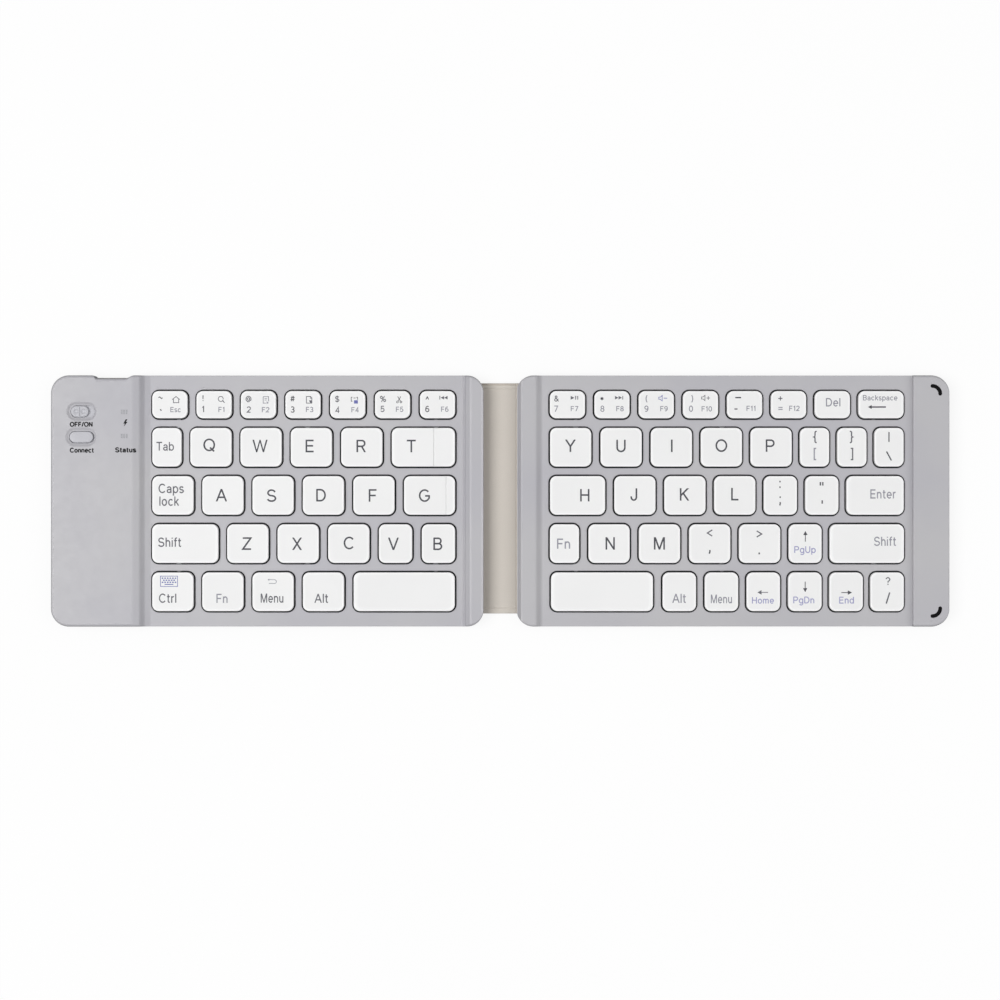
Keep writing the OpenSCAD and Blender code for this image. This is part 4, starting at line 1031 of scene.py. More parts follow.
def icon(kind):
    """small generic pictograms, about 2.4 mm across, drawn about their middle"""
    w = 0.24
    if kind == "home":
        return [ribbon([(-1.3, 0.1), (0, 1.15), (1.3, 0.1)], w), ribbon([(-0.9, 0.25), (-0.9, -0.95), (0.9, -0.95), (0.9, 0.25)], w)]
    if kind == "search":
        return [ribbon(arc(-0.15, 0.15, 0.85, 0, 345, 22) , w), ribbon([(0.5, -0.5), (1.15, -1.15)], w * 1.2)]
    if kind == "select":
        return [ribbon([(-0.9, 1.2), (0.95, 1.2), (0.95, -0.4)], w), ribbon([(-0.9, 1.2), (-0.9, -1.0), (0.0, -1.0)], w), ribbon([(-0.45, 0.55), (0.45, 0.55)], w * 0.8), ribbon([(-0.45, 0.05), (0.3, 0.05)], w * 0.8), poly([(0.25, -0.3), (1.05, -1.0), (0.6, -1.05), (0.35, -1.4)])]
    if kind == "copy":
        return [ribbon([(-0.95, 1.15), (0.45, 1.15), (0.9, 0.7), (0.9, -1.1), (-0.95, -1.1)], w, True), ribbon([(0.35, 1.1), (0.35, 0.55), (0.88, 0.55)], w * 0.8), poly([(-0.1, -0.15), (0.9, -0.15), (0.9, -1.1), (0.35, -1.1)])]
    if kind == "paste":
        return [ribbon([(-0.75, 1.0), (-1.15, 1.0), (-1.15, -0.35), (-0.75, -0.35)], w), ribbon([(0.6, 1.0), (1.0, 1.0), (1.0, 0.2)], w), ribbon([(-0.4, 0.75), (0.35, 0.75)], w)]
    if kind == "sheet":
        return [poly([(-0.2, 0.0), (1.1, 0.0), (1.1, -1.15), (-0.2, -1.15)])]
    if kind == "cut":
        return [ribbon([(-0.55, 1.1), (0.45, -0.55)], w), ribbon([(0.55, 1.1), (-0.45, -0.55)], w), ribbon(arc(-0.62, -0.85, 0.33, 60, 405, 12), w * 0.9), ribbon(arc(0.62, -0.85, 0.33, 135, 480, 12), w * 0.9)]
    if kind in ("prev", "next"):
        s = 1 if kind == "next" else -1
        out = []
        for x in (-1.35, -0.15):
            out.append(poly([(s * x, 0.62), (s * x, -0.62), (s * (x + 1.15), 0)]))
        out.append(poly([(s * 1.15, 0.62), (s * 1.4, 0.62), (s * 1.4, -0.62), (s * 1.15, -0.62)]))
        return out
    if kind == "play":
        return [poly([(-1.3, 0.65), (-1.3, -0.65), (-0.05, 0)]), poly([(0.25, 0.62), (0.55, 0.62), (0.55, -0.62), (0.25, -0.62)]), poly([(0.95, 0.62), (1.25, 0.62), (1.25, -0.62), (0.95, -0.62)])]
    if kind in ("softer", "louder"):
        out = [ribbon([(-1.5, 0.35), (-1.0, 0.35), (-0.35, 0.9), (-0.35, -0.9), (-1.0, -0.35), (-1.5, -0.35)], w * 0.9, True), ribbon([(0.2, 0), (1.35, 0)], w)]
        if kind == "louder":
            out.append(ribbon([(0.775, 0.6), (0.775, 0.12)], w))
            out.append(ribbon([(0.775, -0.12), (0.775, -0.6)], w))
        return out
    if kind == "keyboard":
        w2 = 0.2
        out = [ribbon([(-2.9, 1.75), (2.9, 1.75), (2.9, -1.75), (-2.9, -1.75)], w2, True)]
        for j, (y, xs) in enumerate(((1.05, (-2.2, -1.32, -0.44, 0.44, 1.32, 2.2)), (0.35, (-1.76, -0.88, 0.0, 0.88, 1.76)), (-0.35, (-2.2, -1.32, -0.44, 0.44, 1.32, 2.2)))):
            for x in xs:
                out.append(poly([(x - 0.27, y - 0.22), (x + 0.27, y - 0.22), (x + 0.27, y + 0.22), (x - 0.27, y + 0.22)]))
        out.append(poly([(-1.5, -1.2), (1.5, -1.2), (1.5, -0.9), (-1.5, -0.9)]))
        return out
    if kind == "back":
        return [ribbon([(-1.5, 0.75), (0.75, 0.75)] + arc(0.75, 0.0, 0.75, 90, -90, 10)[1:] + [(-1.5, -0.75)], w), poly([(-2.0, 0.75), (-1.35, 1.2), (-1.35, 0.3)])]
    if kind in ("left", "right"):
        s = 1 if kind == "right" else -1
        return [ribbon([(s * -1.9, 0), (s * 0.9, 0)], 0.3), poly([(s * 0.55, 0.85), (s * 0.55, -0.85), (s * 2.1, 0)])]
    if kind in ("up", "down"):
        s = 1 if kind == "up" else -1
        return [ribbon([(0, s * -1.9), (0, s * 0.9)], 0.3), poly([(0.8, s * 0.5), (-0.8, s * 0.5), (0, s * 2.0)])]
    if kind == "backspace":
        return [ribbon([(-2.0, 0), (3.2, 0)], 0.5), poly([(-1.9, 0.72), (-1.9, -0.72), (-3.2, 0)])]
    raise ValueError(kind)


# (key group, row, index): what is printed, as (text or icon, x, y, capital height in px or icon scale, ink, squeeze)
G, LG, BL, MG, PB = range(5)
BIG = 12.4
LEGENDS = {
    ("left", 0, 0): [("~", 160.5, 397.7, 6, G), ("`", 160.8, 410, 6.5, G), ("i:home", 176, 399.9, 1.0, MG), ("Esc", 175.5, 409.6, 4.9, LG)],
    ("left", 0, 1): [("!", 203, 398.2, 5.6, G), ("1", 203, 408.9, 6, G), ("i:search", 221.2, 399.4, 1.0, MG), ("F1", 221.4, 409.3, 5.0, LG)],
    ("left", 0, 2): [("@", 248.5, 399, 5.6, MG), ("2", 248.5, 409.5, 6, MG), ("i:select", 265.8, 400.2, 1.0, LG), ("F2", 265.6, 409.7, 5.0, LG)],
    ("left", 0, 3): [("#", 292.6, 398.6, 5.6, G), ("3", 292.6, 409.5, 6, G), ("i:copy", 309.2, 399.9, 1.0, MG), ("F3", 309.6, 409.5, 5.0, LG)],
    ("left", 0, 4): [("$", 337.2, 399, 5.6, MG), ("4", 337.2, 409.4, 6, MG), ("i:paste", 354.6, 400.2, 1.0, MG), ("i:sheet", 354.6, 400.2, 1.0, BL), ("F4", 355, 409.4, 5.0, LG)],
    ("left", 0, 5): [("%", 383, 398.9, 5.6, MG), ("5", 382.5, 408.9, 6, MG), ("i:cut", 399.2, 399.6, 0.95, G), ("F5", 399.6, 409.3, 5.0, LG)],
    ("left", 0, 6): [("^", 427.3, 397.8, 6, G), ("6", 427.3, 409, 6, G), ("i:prev", 443.6, 397.7, 1.0, MG), ("F6", 444.8, 409.2, 5.0, LG)],
    ("left", 1, 0): [("Tab", 165.2, 446.3, 8.6, MG, 0.9)],
    ("left", 1, 1): [("Q", 209.2, 445.2, BIG, G)],
    ("left", 1, 2): [("W", 260, 446, BIG, G)],
    ("left", 1, 3): [("E", 309.6, 446, BIG, G)],
    ("left", 1, 4): [("R", 361.2, 446, BIG, G)],
    ("left", 1, 5): [("T", 411.3, 446, BIG, G)],
    ("left", 2, 0): [("Caps", 171.2, 489.6, 9.2, MG, 0.9), ("lock", 169.2, 501.3, 9.2, MG, 0.89)],
    ("left", 2, 1): [("A", 221.4, 495.2, BIG, G)],
    ("left", 2, 2): [("S", 271.6, 495.6, BIG, G)],
    ("left", 2, 3): [("D", 321, 495.2, BIG, G)],
    ("left", 2, 4): [("F", 372.6, 495.4, BIG, G)],
    ("left", 2, 5): [("G", 424.4, 495.6, BIG, G)],
    ("left", 3, 0): [("Shift", 169.6, 542.2, 9.2, MG, 0.89)],
    ("left", 3, 1): [("Z", 246.8, 543.6, BIG, G)],
    ("left", 3, 2): [("X", 297, 543.8, BIG, G)],
    ("left", 3, 3): [("C", 348.6, 543, BIG, G)],
    ("left", 3, 4): [("V", 393.4, 543.8, BIG, G)],
    ("left", 3, 5): [("B", 437.8, 543.8, BIG, G)],
    ("left", 4, 0): [("i:keyboard", 169, 581.3, 1.0, BL), ("Ctrl", 167.6, 598.2, 9.0, MG, 0.9)],
    ("left", 4, 1): [("Fn", 222, 598.4, 9.0, LG, 0.9)],
    ("left", 4, 2): [("i:back", 272.6, 581.6, 0.85, LG), ("Menu", 272, 598.2, 9.0, MG, 0.8)],
    ("left", 4, 3): [("Alt", 321.2, 598.4, 9.0, MG, 0.9)],
    ("right", 0, 0): [("&", 556.6, 398.6, 5.8, MG), ("7", 556.3, 408.7, 6, LG), ("i:play", 574.5, 397.8, 1.0, MG), ("F7", 574.6, 408.7, 5.0, LG)],
    ("right", 0, 1): [("*", 602, 398.6, 7, G), ("8", 602.4, 408.7, 6, LG), ("i:next", 619, 397.7, 1.0, MG), ("F8", 620, 408.7, 5.0, LG)],
    ("right", 0, 2): [("(", 646.6, 398.8, 6, LG), ("9", 646.4, 408.7, 6, LG), ("i:softer", 663.2, 398.2, 1.0, BL), ("F9", 664, 408.7, 5.0, LG)],
    ("right", 0, 3): [(")", 692.2, 398.8, 6, LG), ("0", 691, 408.7, 6, LG), ("i:louder", 706, 398.0, 1.0, MG), ("F10", 706.8, 408.7, 5.0, LG)],
    ("right", 0, 4): [("_", 738.2, 397.6, 9, G), ("-", 736, 409, 8, G), ("F11", 751, 408.2, 5.0, LG)],
    ("right", 0, 5): [("+", 780.4, 398.4, 6.5, MG), ("=", 780.5, 408.4, 6.5, LG), ("F12", 794.4, 408.2, 5.0, LG)],
    ("right", 0, 6): [("Del", 833.2, 402.3, 8.2, LG, 0.95)],
    ("right", 0, 7): [("Backspace", 880.2, 398.4, 5.2, LG), ("i:backspace", 877, 407, 0.95, G)],
    ("right", 1, 0): [("Y", 570.4, 445.8, BIG, G)],
    ("right", 1, 1): [("U", 621, 446, BIG, G)],
    ("right", 1, 2): [("I", 671.8, 445.8, BIG, G)],
    ("right", 1, 3): [("O", 721.4, 445.6, BIG, G)],
    ("right", 1, 4): [("P", 770.2, 445.6, BIG, G)],
    ("right", 1, 5): [("{", 814.6, 437, 9, MG), ("[", 814.9, 454, 9, LG)],
    ("right", 1, 6): [("}", 852, 437, 9, MG), ("]", 852, 454, 9, MG)],
    ("right", 1, 7): [("|", 889, 437, 8, G), ("\\", 889, 456, 9, G)],
    ("right", 2, 0): [("H", 584.8, 495.2, BIG, G)],
    ("right", 2, 1): [("J", 633.8, 494.6, BIG, G)],
    ("right", 2, 2): [("K", 684.6, 494.4, BIG, G)],
    ("right", 2, 3): [("L", 734.8, 494.2, BIG, G)],
    ("right", 2, 4): [(":", 780, 484.4, 9, G), (";", 780, 501, 9, G)],
    ("right", 2, 5): [("\"", 821.6, 483.8, 9.5, G), ("'", 822.2, 502, 9.5, G)],
    ("right", 2, 6): [("Enter", 883, 494, 9.0, LG, 0.87)],
    ("right", 3, 0): [("Fn", 563.6, 543.6, 10, LG, 0.95)],
    ("right", 3, 1): [("N", 610.2, 543.4, BIG, G)],
    ("right", 3, 2): [("M", 659.4, 543.4, BIG, G)],
    ("right", 3, 3): [("<", 709.4, 533, 8.5, MG), (",", 709.6, 552, 10, G)],
    ("right", 3, 4): [(">", 759.6, 534, 8.5, MG), (".", 759.2, 553.4, 10, G)],
    ("right", 3, 5): [("i:up", 805.4, 536.4, 0.92, G), ("PgUp", 805, 550.6, 6.6, PB)],
    ("right", 3, 6): [("Shift", 885, 541.3, 9.0, LG, 0.87)],
    ("right", 4, 1): [("Alt", 679, 598.4, 9.0, LG, 0.9)],
    ("right", 4, 2): [("Menu", 721.4, 599, 8.6, LG, 0.78)],
    ("right", 4, 3): [("i:left", 763, 592.4, 0.9, MG), ("Home", 763, 600.4, 6.4, PB)],
    ("right", 4, 4): [("i:down", 805.2, 586.8, 0.92, G), ("PgDn", 803.8, 601, 6.6, PB)],
    ("right", 4, 5): [("i:right", 846.4, 592.6, 0.9, G), ("End", 846.6, 600.2, 6.6, PB)],
    ("right", 4, 6): [("?", 888, 581, 7.6, MG), ("/", 888, 598, 10.5, MG)],
}


def build_keys():
    for side, row, i0, i1, node in GROUPS:
        shapes = []
        for r, i, x, y, w, h in keys_of(side):
            if r != row or not i0 <= i <= i1:
                continue
            build_keycap("keycap_%s_%d_%d" % (side, r + 1, i + 1), node, node, x, y, w, h)

            def z_of(a, b, x=x, y=y, w=w, h=h):
                return top_at(a - x, b - y, w, h)

            for item in LEGENDS.get((side, r, i), []):
                t, tx, ty, size, ink = item[:5]
                squeeze = item[5] if len(item) > 5 else 1.0
                cx, cy = px(tx, ty)
                if t.startswith("i:"):
                    if t not in _solid:
                        _solid[t] = fused(icon(t[2:]))
                    shapes.append((place(_solid[t], cx, cy, size), z_of, ink))
                else:
                    shapes += [(g, z_of, ink) for g in words(t, cx, cy, size * 0.3402, squeeze)]
        if shapes:
            print_layer("legends_" + node, node, [INK, INK_LIGHT, INK_BLUE, INK_MID, INK_PALE_BLUE], shapes)


def build_panel_print():
    z = lambda x, y: POD
    shapes = []
    for t, tx, ty, cap, sq in (("OFF/ON", 81.2, 424.3, 4.4, 1.0), ("Connect", 81.7, 450.2, 4.5, 1.02), ("Status", 125.6, 449.9, 4.6, 1.14)):
        cx, cy = px(tx, ty, 0.33981)
        shapes += [(g, z, 0) for g in words(t, cx, cy, cap * 0.3402, sq, weight=0.39)]
    cx, cy = px(125.4, 422.9, 0.33981)
    bolt = poly([(0.1, 1.25), (-0.72, -0.22), (-0.2, -0.22), (-0.52, -1.3), (0.72, 0.36), (0.18, 0.36), (0.72, 1.25)])
    shapes.append((place(fused([bolt]), cx, cy), z, 0))
    print_layer("panel_marks", "left_half", [INK_BLACK], shapes)


# ---------------------------------------------------------------- controls
def build_slider():
    x, y = SLIDER
    z0, z1, f = Z_ROOF - 0.3, POD - 0.12, 0.34
    rings = [ring(rr(6.1, 3.75, 1.87, 12), z0, x, y)]
    for k in range(6):
        a = math.radians(90 * k / 5)
        e = f * (1 - math.cos(a))
        rings.append(ring(rr(6.1 - 2 * e, 3.75 - 2 * e, 1.87 - e, 12), z1 - f * (1 - math.sin(a)), x, y))
    me = to_mesh("knob", *loft(rings))
    # a round finger dimple either side of a fine groove
    n = 32
    for sx in (-1.2, 1.2):
        cyl = []
        for r, z in ((0.12, -0.26), (0.4, -0.24), (0.62, -0.18), (0.76, -0.09), (0.84, 0.0), (0.9, 0.4)):
            cyl.append(ring([(r * math.cos(2 * math.pi * i / n), r * math.sin(2 * math.pi * i / n)) for i in range(n)], z1 + z, x + sx, y))
        me = cut(me, to_mesh("hollow", *loft(cyl)))
    me = cut(me, joined("groove", [loft([ring(rr(0.2, 3.0, 0.08, 4), z1 - 0.25, x, y), ring(rr(0.3, 3.1, 0.12, 4), z1 + 0.3, x, y)])]))
    me = cut(me, joined("flange", [loft([ring(rr(10.4, 6, 0.4, 4), Z_ROOF - 0.55, x, y), ring(rr(10.4, 6, 0.4, 4), Z_ROOF - 0.06, x, y)])]), "UNION")
    me = cut(me, joined("fork", [loft([ring(rr(3.6, 2.6, 0.2, 4), 4.6, -143.3, y), ring(rr(3.6, 2.6, 0.2, 4), Z_ROOF - 0.3, -143.3, y)])]), "UNION")
    me = cut(me, joined("jaw", [boxv(-144.05, -142.55, y - 3, y + 3, 4, 5.4)]))
    ob = add("slider_knob", clean(me, 1e-6, recalc=False), CONTROL)
    smooth(ob, 40)
    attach(ob, "power_slider")
    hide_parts("power_slider")


def build_button():
    x, y = BUTTON
    z0, z1 = Z_ROOF - 0.3, POD - 0.1
    rings = [ring(rr(8.05, 3.75, 1.87, 12), z0, x, y)]
    f = 0.28
    for k in range(6):
        a = math.radians(90 * k / 5)
        e = f * (1 - math.cos(a))
        rings.append(ring(rr(8.05 - 2 * e, 3.75 - 2 * e, 1.87 - e, 12), z1 - 0.06 - f * (1 - math.sin(a)), x, y))
    o = rr(8.05 - 2 * f, 3.75 - 2 * f, 1.87 - f, 12)
    for s in (0.85, 0.65, 0.4, 0.15):
        rings.append(ring(o, z1 - 0.06 * s * s, x, y, s))
    me = to_mesh("cap", *loft(rings))
    me = cut(me, joined("flange", [loft([ring(rr(9.5, 5.4, 0.4, 4), Z_ROOF - 0.55, x, y), ring(rr(9.5, 5.4, 0.4, 4), Z_ROOF - 0.08, x, y)])]), "UNION")
    me = cut(me, joined("stem", [tube(x, y, 0.9, 4.4, Z_ROOF - 0.3)]), "UNION")
    ob = add("connect_cap", clean(me, 1e-6, recalc=False), CONTROL)
    smooth(ob, 40)
    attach(ob, "connect_button")
    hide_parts("connect_button")


# ---------------------------------------------------------------- leather
def build_panel(side):
    """leather-covered board under one half, its edge turned and rounded"""
    s = -1 if side == "left" else 1
    x0, x1 = -XO + 0.5, -11.2
    w, h = x1 - x0, 2 * (YO - 0.5)
    cx = (x0 + x1) / 2
    rings = []
    prof = [(0.9, 0.9), (0.55, 0.9), (0.2, 0.88), (0.05, 0.76), (0.0, 0.55), (0.0, 0.4), (0.04, 0.22), (0.14, 0.09), (0.32, 0.02), (0.55, 0.0)]
    for e, z in prof[::-1]:
        rings.append(ring(rr(w - 2 * e, h - 2 * e, 4.5 - e * 0.8, 12), z, cx, 0))
    # a pressed line runs round the underside, 2.2 mm in from the edge
    under = []
    for e, z in ((30.0, 0.0), (2.75, 0.0), (2.5, 0.02), (2.35, 0.07), (2.2, 0.09), (2.05, 0.07), (1.9, 0.02), (1.65, 0.0)):
        under.append(ring(rr(w - 2 * e, h - 2 * e, max(4.5 - e * 0.8, 1.2), 12), z, cx, 0))
    v, f = loft(under + rings)
    me = clean(to_mesh("panel", v, f))
    if side == "right":
        me.transform(Matrix.Scale(-1, 4, (1, 0, 0)))
        me.flip_normals()
    ob = add(side + "_cover_leather", me, COVER)
    smooth(ob, 50)
    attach(ob, side + "_half")
    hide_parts(side + "_cover_panel")


def sheet_loft(name, xs, ys, z_of, t_of):
    """a closed sheet: top surface z_of(x, y), thickness t_of(x, y), over a grid"""
    nx, ny = len(xs), len(ys)
    v = [(x, y, z_of(x, y)) for y in ys for x in xs] + [(x, y, z_of(x, y) - t_of(x, y)) for y in ys for x in xs]
    f = []
    o = nx * ny
    for j in range(ny - 1):
        for i in range(nx - 1):
            a, b, c, d = j * nx + i, j * nx + i + 1, (j + 1) * nx + i + 1, (j + 1) * nx + i
            f.append((a, b, c, d))
            f.append((o + d, o + c, o + b, o + a))
    for i in range(nx - 1):
        f.append((i + 1, i, o + i, o + i + 1))
        a = (ny - 1) * nx + i
        f.append((a, a + 1, o + a + 1, o + a))
    for j in range(ny - 1):
        a, b = j * nx, (j + 1) * nx
        f.append((a, b, o + b, o + a))
        a, b = j * nx + nx - 1, (j + 1) * nx + nx - 1
        f.append((b, a, o + a, o + b))
    return to_mesh(name, v, f)


def build_spine():
    mid = (CREASE_OUT + CREASE_IN) / 2
    spans = [("left", -11.25, -mid, "left_half", "spine_left", -CREASE_OUT), ("inner_left", -mid, 0.0, "spine_left", "spine_middle", -CREASE_IN),
             ("inner_right", 0.0, mid, "spine_middle", "spine_right", CREASE_IN), ("right", mid, 11.25, "spine_right", "right_half", CREASE_OUT)]
    covers = {"left": "spine_cover_left", "inner_left": "spine_cover_middle", "inner_right": None, "right": "spine_cover_right"}
    linings = {"left": "spine_lining_left", "inner_left": "spine_lining_middle", "inner_right": None, "right": "spine_lining_right"}
    e = [0.0, 0.02, 0.07, 0.14, 0.22, 0.3, 0.36, 0.42, 0.48, 0.54, 0.6, 0.66, 0.72, 0.8, 1.1, 1.4, 1.6, 1.68, 1.76, 1.84, 1.92, 2.0, 2.08, 2.2, 2.4, 3.2]
    ys = [SPINE_F + a for a in e]
    y = SPINE_F + 6
    while y < SPINE_R - 5:
        ys.append(y)
        y += 3.5
    ys += [SPINE_R - a for a in e[::-1]]

    def edge(y):
        return min(y - SPINE_F, SPINE_R - y)

    def lining_top(x, y):
        d = edge(y)
        z = Z_COVER - 0.005
        if d < 0.3:
            z -= 0.3 * (1 - math.sqrt(max(0.0, 1 - ((0.3 - d) / 0.3) ** 2)))
        if y > 0 and 0.3 < d < 0.8:  # the seam where the lining meets the turned end of the cover
            z -= 0.36 * (0.5 - 0.5 * math.cos(2 * math.pi * (d - 0.3) / 0.5))
        z -= 0.05 * step3((d - 1.4) / 0.5)
        if 1.6 < d < 2.2:  # the line pressed in along the hem
            z -= 0.12 * (0.5 - 0.5 * math.cos(2 * math.pi * (d - 1.6) / 0.6))
        if abs(x - 5.62) < 0.19:
            z -= 0.17 * (1 - (abs(x - 5.62) / 0.19) ** 3)
        return max(z, 0.52)

    def cover_low(x, y):
        d = edge(y)
        z = 0.0
        if d < 0.32:
            z += 0.32 * (1 - math.sqrt(max(0.0, 1 - ((0.32 - d) / 0.32) ** 2))) * 0.85
        if 1.5 < d < 2.1:
            z += 0.07 * (0.5 - 0.5 * math.cos(2 * math.pi * (d - 1.5) / 0.6))
        return z

    for name, x0, x1, a, b, crease in spans:
        n = max(8, int((x1 - x0) / 0.22))
        xs = [x0 + (x1 - x0) * i / n for i in range(n + 1)]
        if x0 < 5 and x1 > 6:
            xs = sorted([x for x in xs if abs(x - 5.62) > 0.24] + [5.62 + a for a in (-0.19, -0.16, -0.11, -0.05, 0.05, 0.11, 0.16, 0.19)])
        for kind in ("cover", "lining"):
            if kind == "cover":
                me = sheet_loft("c", xs, ys, lambda x, y: 0.5, lambda x, y: 0.5 - cover_low(x, y))
                node, mat, slot = covers[name], COVER, "leather_cover"
            else:
                me = sheet_loft("l", xs, ys, lining_top, lambda x, y: lining_top(x, y) - 0.5)
                node, mat, slot = linings[name], LINING, "leather_lining"
            ob = add("spine_%s_%s" % (kind, name), clean(me, 1e-7), mat)
            smooth(ob, 40, weighted=False)
            if node:
                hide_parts(node)
            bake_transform(ob)
    # ribbon cable inside the laminate, and up to the membranes inside the halves
    path = [(-15.9, Z_MEM + 0.11), (-12.3, Z_MEM + 0.11), (-11.2, 0.65), (11.2, 0.65), (12.3, Z_MEM + 0.11), (15.9, Z_MEM + 0.11)]

    def z_at(x):
        for (xa, za), (xb, zb) in zip(path, path[1:]):
            if xa <= x <= xb:
                return za + (zb - za) * (x - xa) / (xb - xa)
        return path[-1][1]

    cuts = [(-15.9, -mid, "left_half", "spine_left", -CREASE_OUT), (-mid, 0.0, "spine_left", "spine_middle", -CREASE_IN),
            (0.0, mid, "spine_middle", "spine_right", CREASE_IN), (mid, 15.9, "spine_right", "right_half", CREASE_OUT)]
    for k, (x0, x1, a, b, crease) in enumerate(cuts):
        n = int((x1 - x0) / 0.3)
        xs = sorted(set([round(x0 + (x1 - x0) * i / n, 4) for i in range(n + 1)] + [p[0] for p in path if x0 < p[0] < x1]))
        ys2 = [-6, -5.9, -5.5, -4.5, -3.5, -2.5, -1.5, -0.5, 0.5, 1.5, 2.5, 3.5, 4.5, 5.5, 5.9, 6]
        ob = add("ribbon_cable_%d" % (k + 1), clean(sheet_loft("r", xs, ys2, lambda x, y: z_at(x), lambda x, y: 0.1), 1e-7), RIBBON)
        smooth(ob, 40, weighted=False)
        if k == 0:
            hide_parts("flex_cable")
        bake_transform(ob)


# ---------------------------------------------------------------- the parts under the keys, one set to each key group
def islands(me):
    parent = list(range(len(me.vertices)))

    def find(a):
        while parent[a] != a:
            parent[a] = parent[parent[a]]
            a = parent[a]
        return a

    for e in me.edges:
        a, b = find(e.vertices[0]), find(e.vertices[1])
        if a != b:
            parent[b] = a
    return [find(i) for i in range(len(me.vertices))]


def split_under_keys():
    for side in ("left", "right"):
        cells = {}
        for s, row, i0, i1, group in GROUPS:
            if s == side:
                for r, i, x, y, w, h in keys_of(side):
                    if r == row and i0 <= i <= i1:
                        cells[(x, y, w, h)] = group
        for node, mat, slot in (("_rubber_domes", SILICONE, "dome_rubber"), ("_scissor_links", ACETAL, "scissor_plastic"), ("_stabiliser_bars", WIRE, "wire_steel")):
            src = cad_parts[side + node]
            me0 = src.data.copy()
            bm = bmesh.new()
            bm.from_mesh(me0)
            bmesh.ops.remove_doubles(bm, verts=bm.verts, dist=1e-7)
            bm.to_mesh(me0)
            bm.free()
            co = [v.co.copy() for v in me0.vertices]
            root = islands(me0)
            mid = {}
            for i, r in enumerate(root):
                m = mid.setdefault(r, [0.0, 0.0, 0])
                m[0] += co[i].x
                m[1] += co[i].y
                m[2] += 1
            group_of = {}
            for r, (sx, sy, n) in mid.items():
                cx, cy = sx / n / MM, sy / n / MM
                best = min(cells, key=lambda c: max(abs(cx - c[0]) / c[2], abs(cy - c[1]) / c[3]))
                group_of[r] = cells[best]
            for group in sorted(set(group_of.values())):
                used, verts, faces = {}, [], []
                for p in me0.polygons:
                    if group_of[root[p.vertices[0]]] != group:
                        continue
                    g = []
                    for i in p.vertices:
                        if i not in used:
                            used[i] = len(verts)
                            verts.append(tuple(co[i]))
                        g.append(used[i])
                    faces.append(tuple(g))
                me = bpy.data.meshes.new("u")
                me.from_pydata(verts, [], faces)
                me.validate()
                ob = add(group + node, me, mat)
                smooth(ob, 35, weighted=False)
                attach(ob, side + "_half")
                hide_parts(side + node)
                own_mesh(ob)
            bpy.data.meshes.remove(me0)


# ---------------------------------------------------------------- CAD nodes that keep their shape
PAINT = {
    "left_base_plate": STEEL, "right_base_plate": STEEL, "left_membrane": FILM, "right_membrane": FILM,
    "left_magnets": MAGNET, "right_magnets": MAGNET, "left_screws": SCREW, "right_screws": SCREW,
    "battery": FOIL, "battery_leads": LEAD, "main_circuit_board": BOARD, "circuit_components": CHIP,
    "membrane_connector": NYLON, "usb_port_shell": PORT, "usb_port_tongue": TONGUE,
    "power_switch_housing": SWITCH, "tact_switch_housing": SWITCH, "status_leds": LED, "status_light_guides": GUIDE,
    "power_switch_lever": LEVER, "tact_plunger": LEVER,
}
BEVEL = {"battery": 0.5, "circuit_components": 0.06, "membrane_connector": 0.1, "power_switch_housing": 0.1, "tact_switch_housing": 0.08,
         "power_switch_lever": 0.08, "left_magnets": 0.2, "right_magnets": 0.2, "usb_port_tongue": 0.05, "main_circuit_board": 0.04}


def paint_nodes():
    for name, mat in PAINT.items():
        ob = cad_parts[name]
        if not ob.material_slots:
            ob.data.materials.append(mat)
        for s in ob.material_slots:
            s.material = mat
        if name in BEVEL:
            m = ob.modifiers.new("soft edges", "BEVEL")
            m.width, m.segments, m.limit_method, m.angle_limit = BEVEL[name] * MM, 2, "ANGLE", math.radians(40)
            m.use_clamp_overlap = True


build_frame("left")
build_frame("right")
build_bumper(1, "bumper_rear", "rear_corner_bumper")
build_bumper(-1, "bumper_front", "front_corner_bumper")
build_keys()
build_panel_print()
build_slider()
build_button()
build_panel("left")
build_panel("right")
build_spine()
split_under_keys()
paint_nodes()

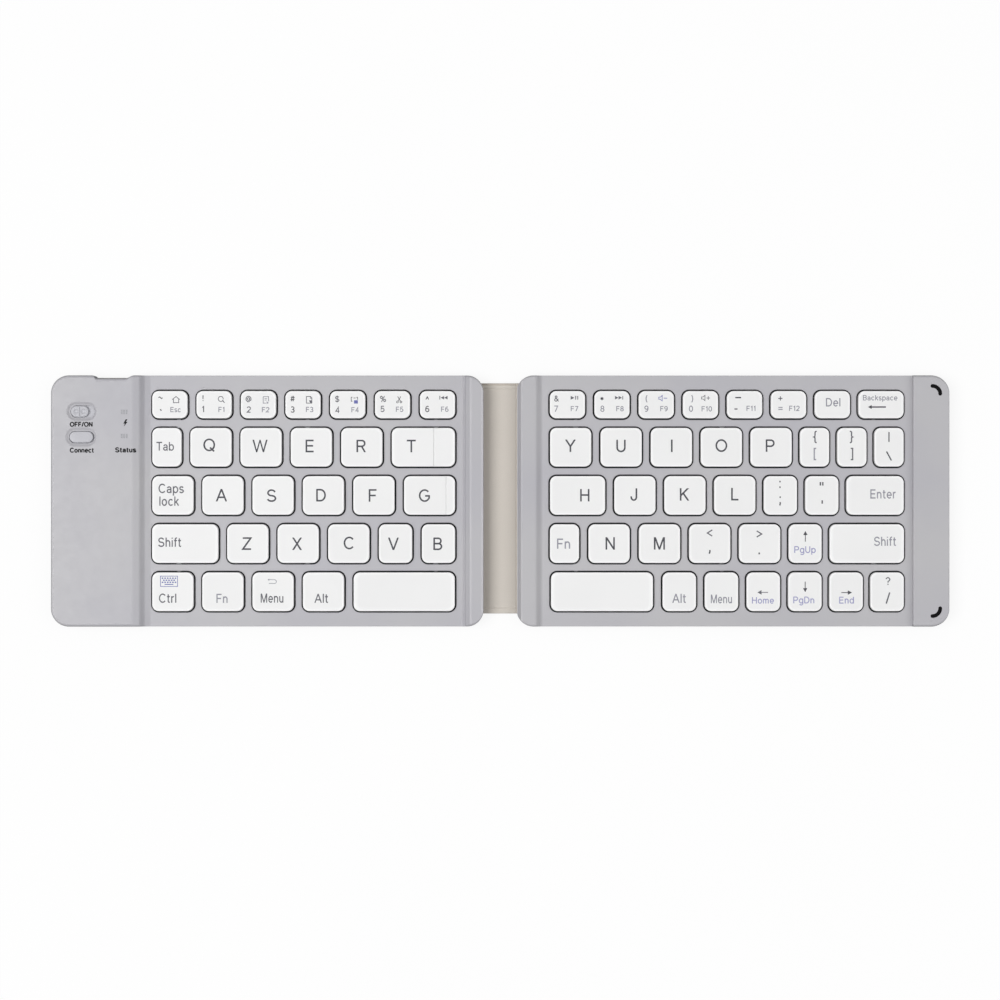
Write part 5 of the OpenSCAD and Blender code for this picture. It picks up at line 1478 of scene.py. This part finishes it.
# ---------------------------------------------------------------- stage, light and camera
FLOOR = Mat("floor_white")
FLOOR.colour(FLOOR.mix(FLOOR.remap(FLOOR.noise(8.0, 2.0), 0.3, 0.7, 0.0, 1.0), (0.12, 0.12, 0.12, 1), (0.125, 0.125, 0.125, 1)))
FLOOR.set(Roughness=0.9, Specular_IOR_Level=0.1)
FLOOR.bsdf.inputs["Emission Color"].default_value = (1, 1, 1, 1)
FLOOR.bsdf.inputs["Emission Strength"].default_value = 0.868
fme = bpy.data.meshes.new("floor")
S = 6.0
fme.from_pydata([(-S, -S, -0.0002), (S, -S, -0.0002), (S, S, -0.0002), (-S, S, -0.0002)], [], [(0, 1, 2, 3)])
floor = add("floor", fme, FLOOR.m)
floor.visible_diffuse = False
floor.visible_glossy = False

world = bpy.data.worlds.new("soft") if scene.world is None else scene.world
scene.world = world
world.use_nodes = True
wt = world.node_tree
wt.nodes.clear()
wo, bg = wt.nodes.new("ShaderNodeOutputWorld"), wt.nodes.new("ShaderNodeBackground")
tc, sep, mr = wt.nodes.new("ShaderNodeTexCoord"), wt.nodes.new("ShaderNodeSeparateXYZ"), wt.nodes.new("ShaderNodeMapRange")
wt.links.new(tc.outputs["Generated"], sep.inputs[0])
wt.links.new(sep.outputs["Z"], mr.inputs[0])
for i, v in zip(range(1, 5), (0.0, 0.85, 0.12, 0.53)):
    mr.inputs[i].default_value = v
wt.links.new(mr.outputs[0], bg.inputs["Strength"])
bg.inputs["Color"].default_value = (1.0, 1.0, 1.0, 1)
wt.links.new(bg.outputs[0], wo.inputs[0])


def area(name, loc, target, size, power, colour=(1, 1, 1)):
    li = bpy.data.lights.new(name, "AREA")
    li.shape, li.size, li.size_y, li.energy, li.color = "RECTANGLE", size[0], size[1], power, colour
    ob = bpy.data.objects.new(name, li)
    scene.collection.objects.link(ob)
    ob.location = loc
    d = Vector(target) - Vector(loc)
    ob.rotation_euler = d.to_track_quat("-Z", "Y").to_euler()
    return ob


area("key_light", (-1.75, -0.1, 3.2), (0, 0, 0), (1.9, 1.9), 70)
area("fill_light", (2.3, -0.1, 3.0), (0, 0, 0), (2.6, 2.6), 24)

cam = bpy.data.cameras.new("camera")
cam.sensor_width, cam.lens = 36.0, 36.0 * 700.0 / 340.2
cam.clip_start, cam.clip_end = 0.01, 20
co = bpy.data.objects.new("camera", cam)
scene.collection.objects.link(co)
co.location = (0.0, 0.34 * MM, 706.7 * MM)
scene.camera = co

bpy.context.view_layer.update()
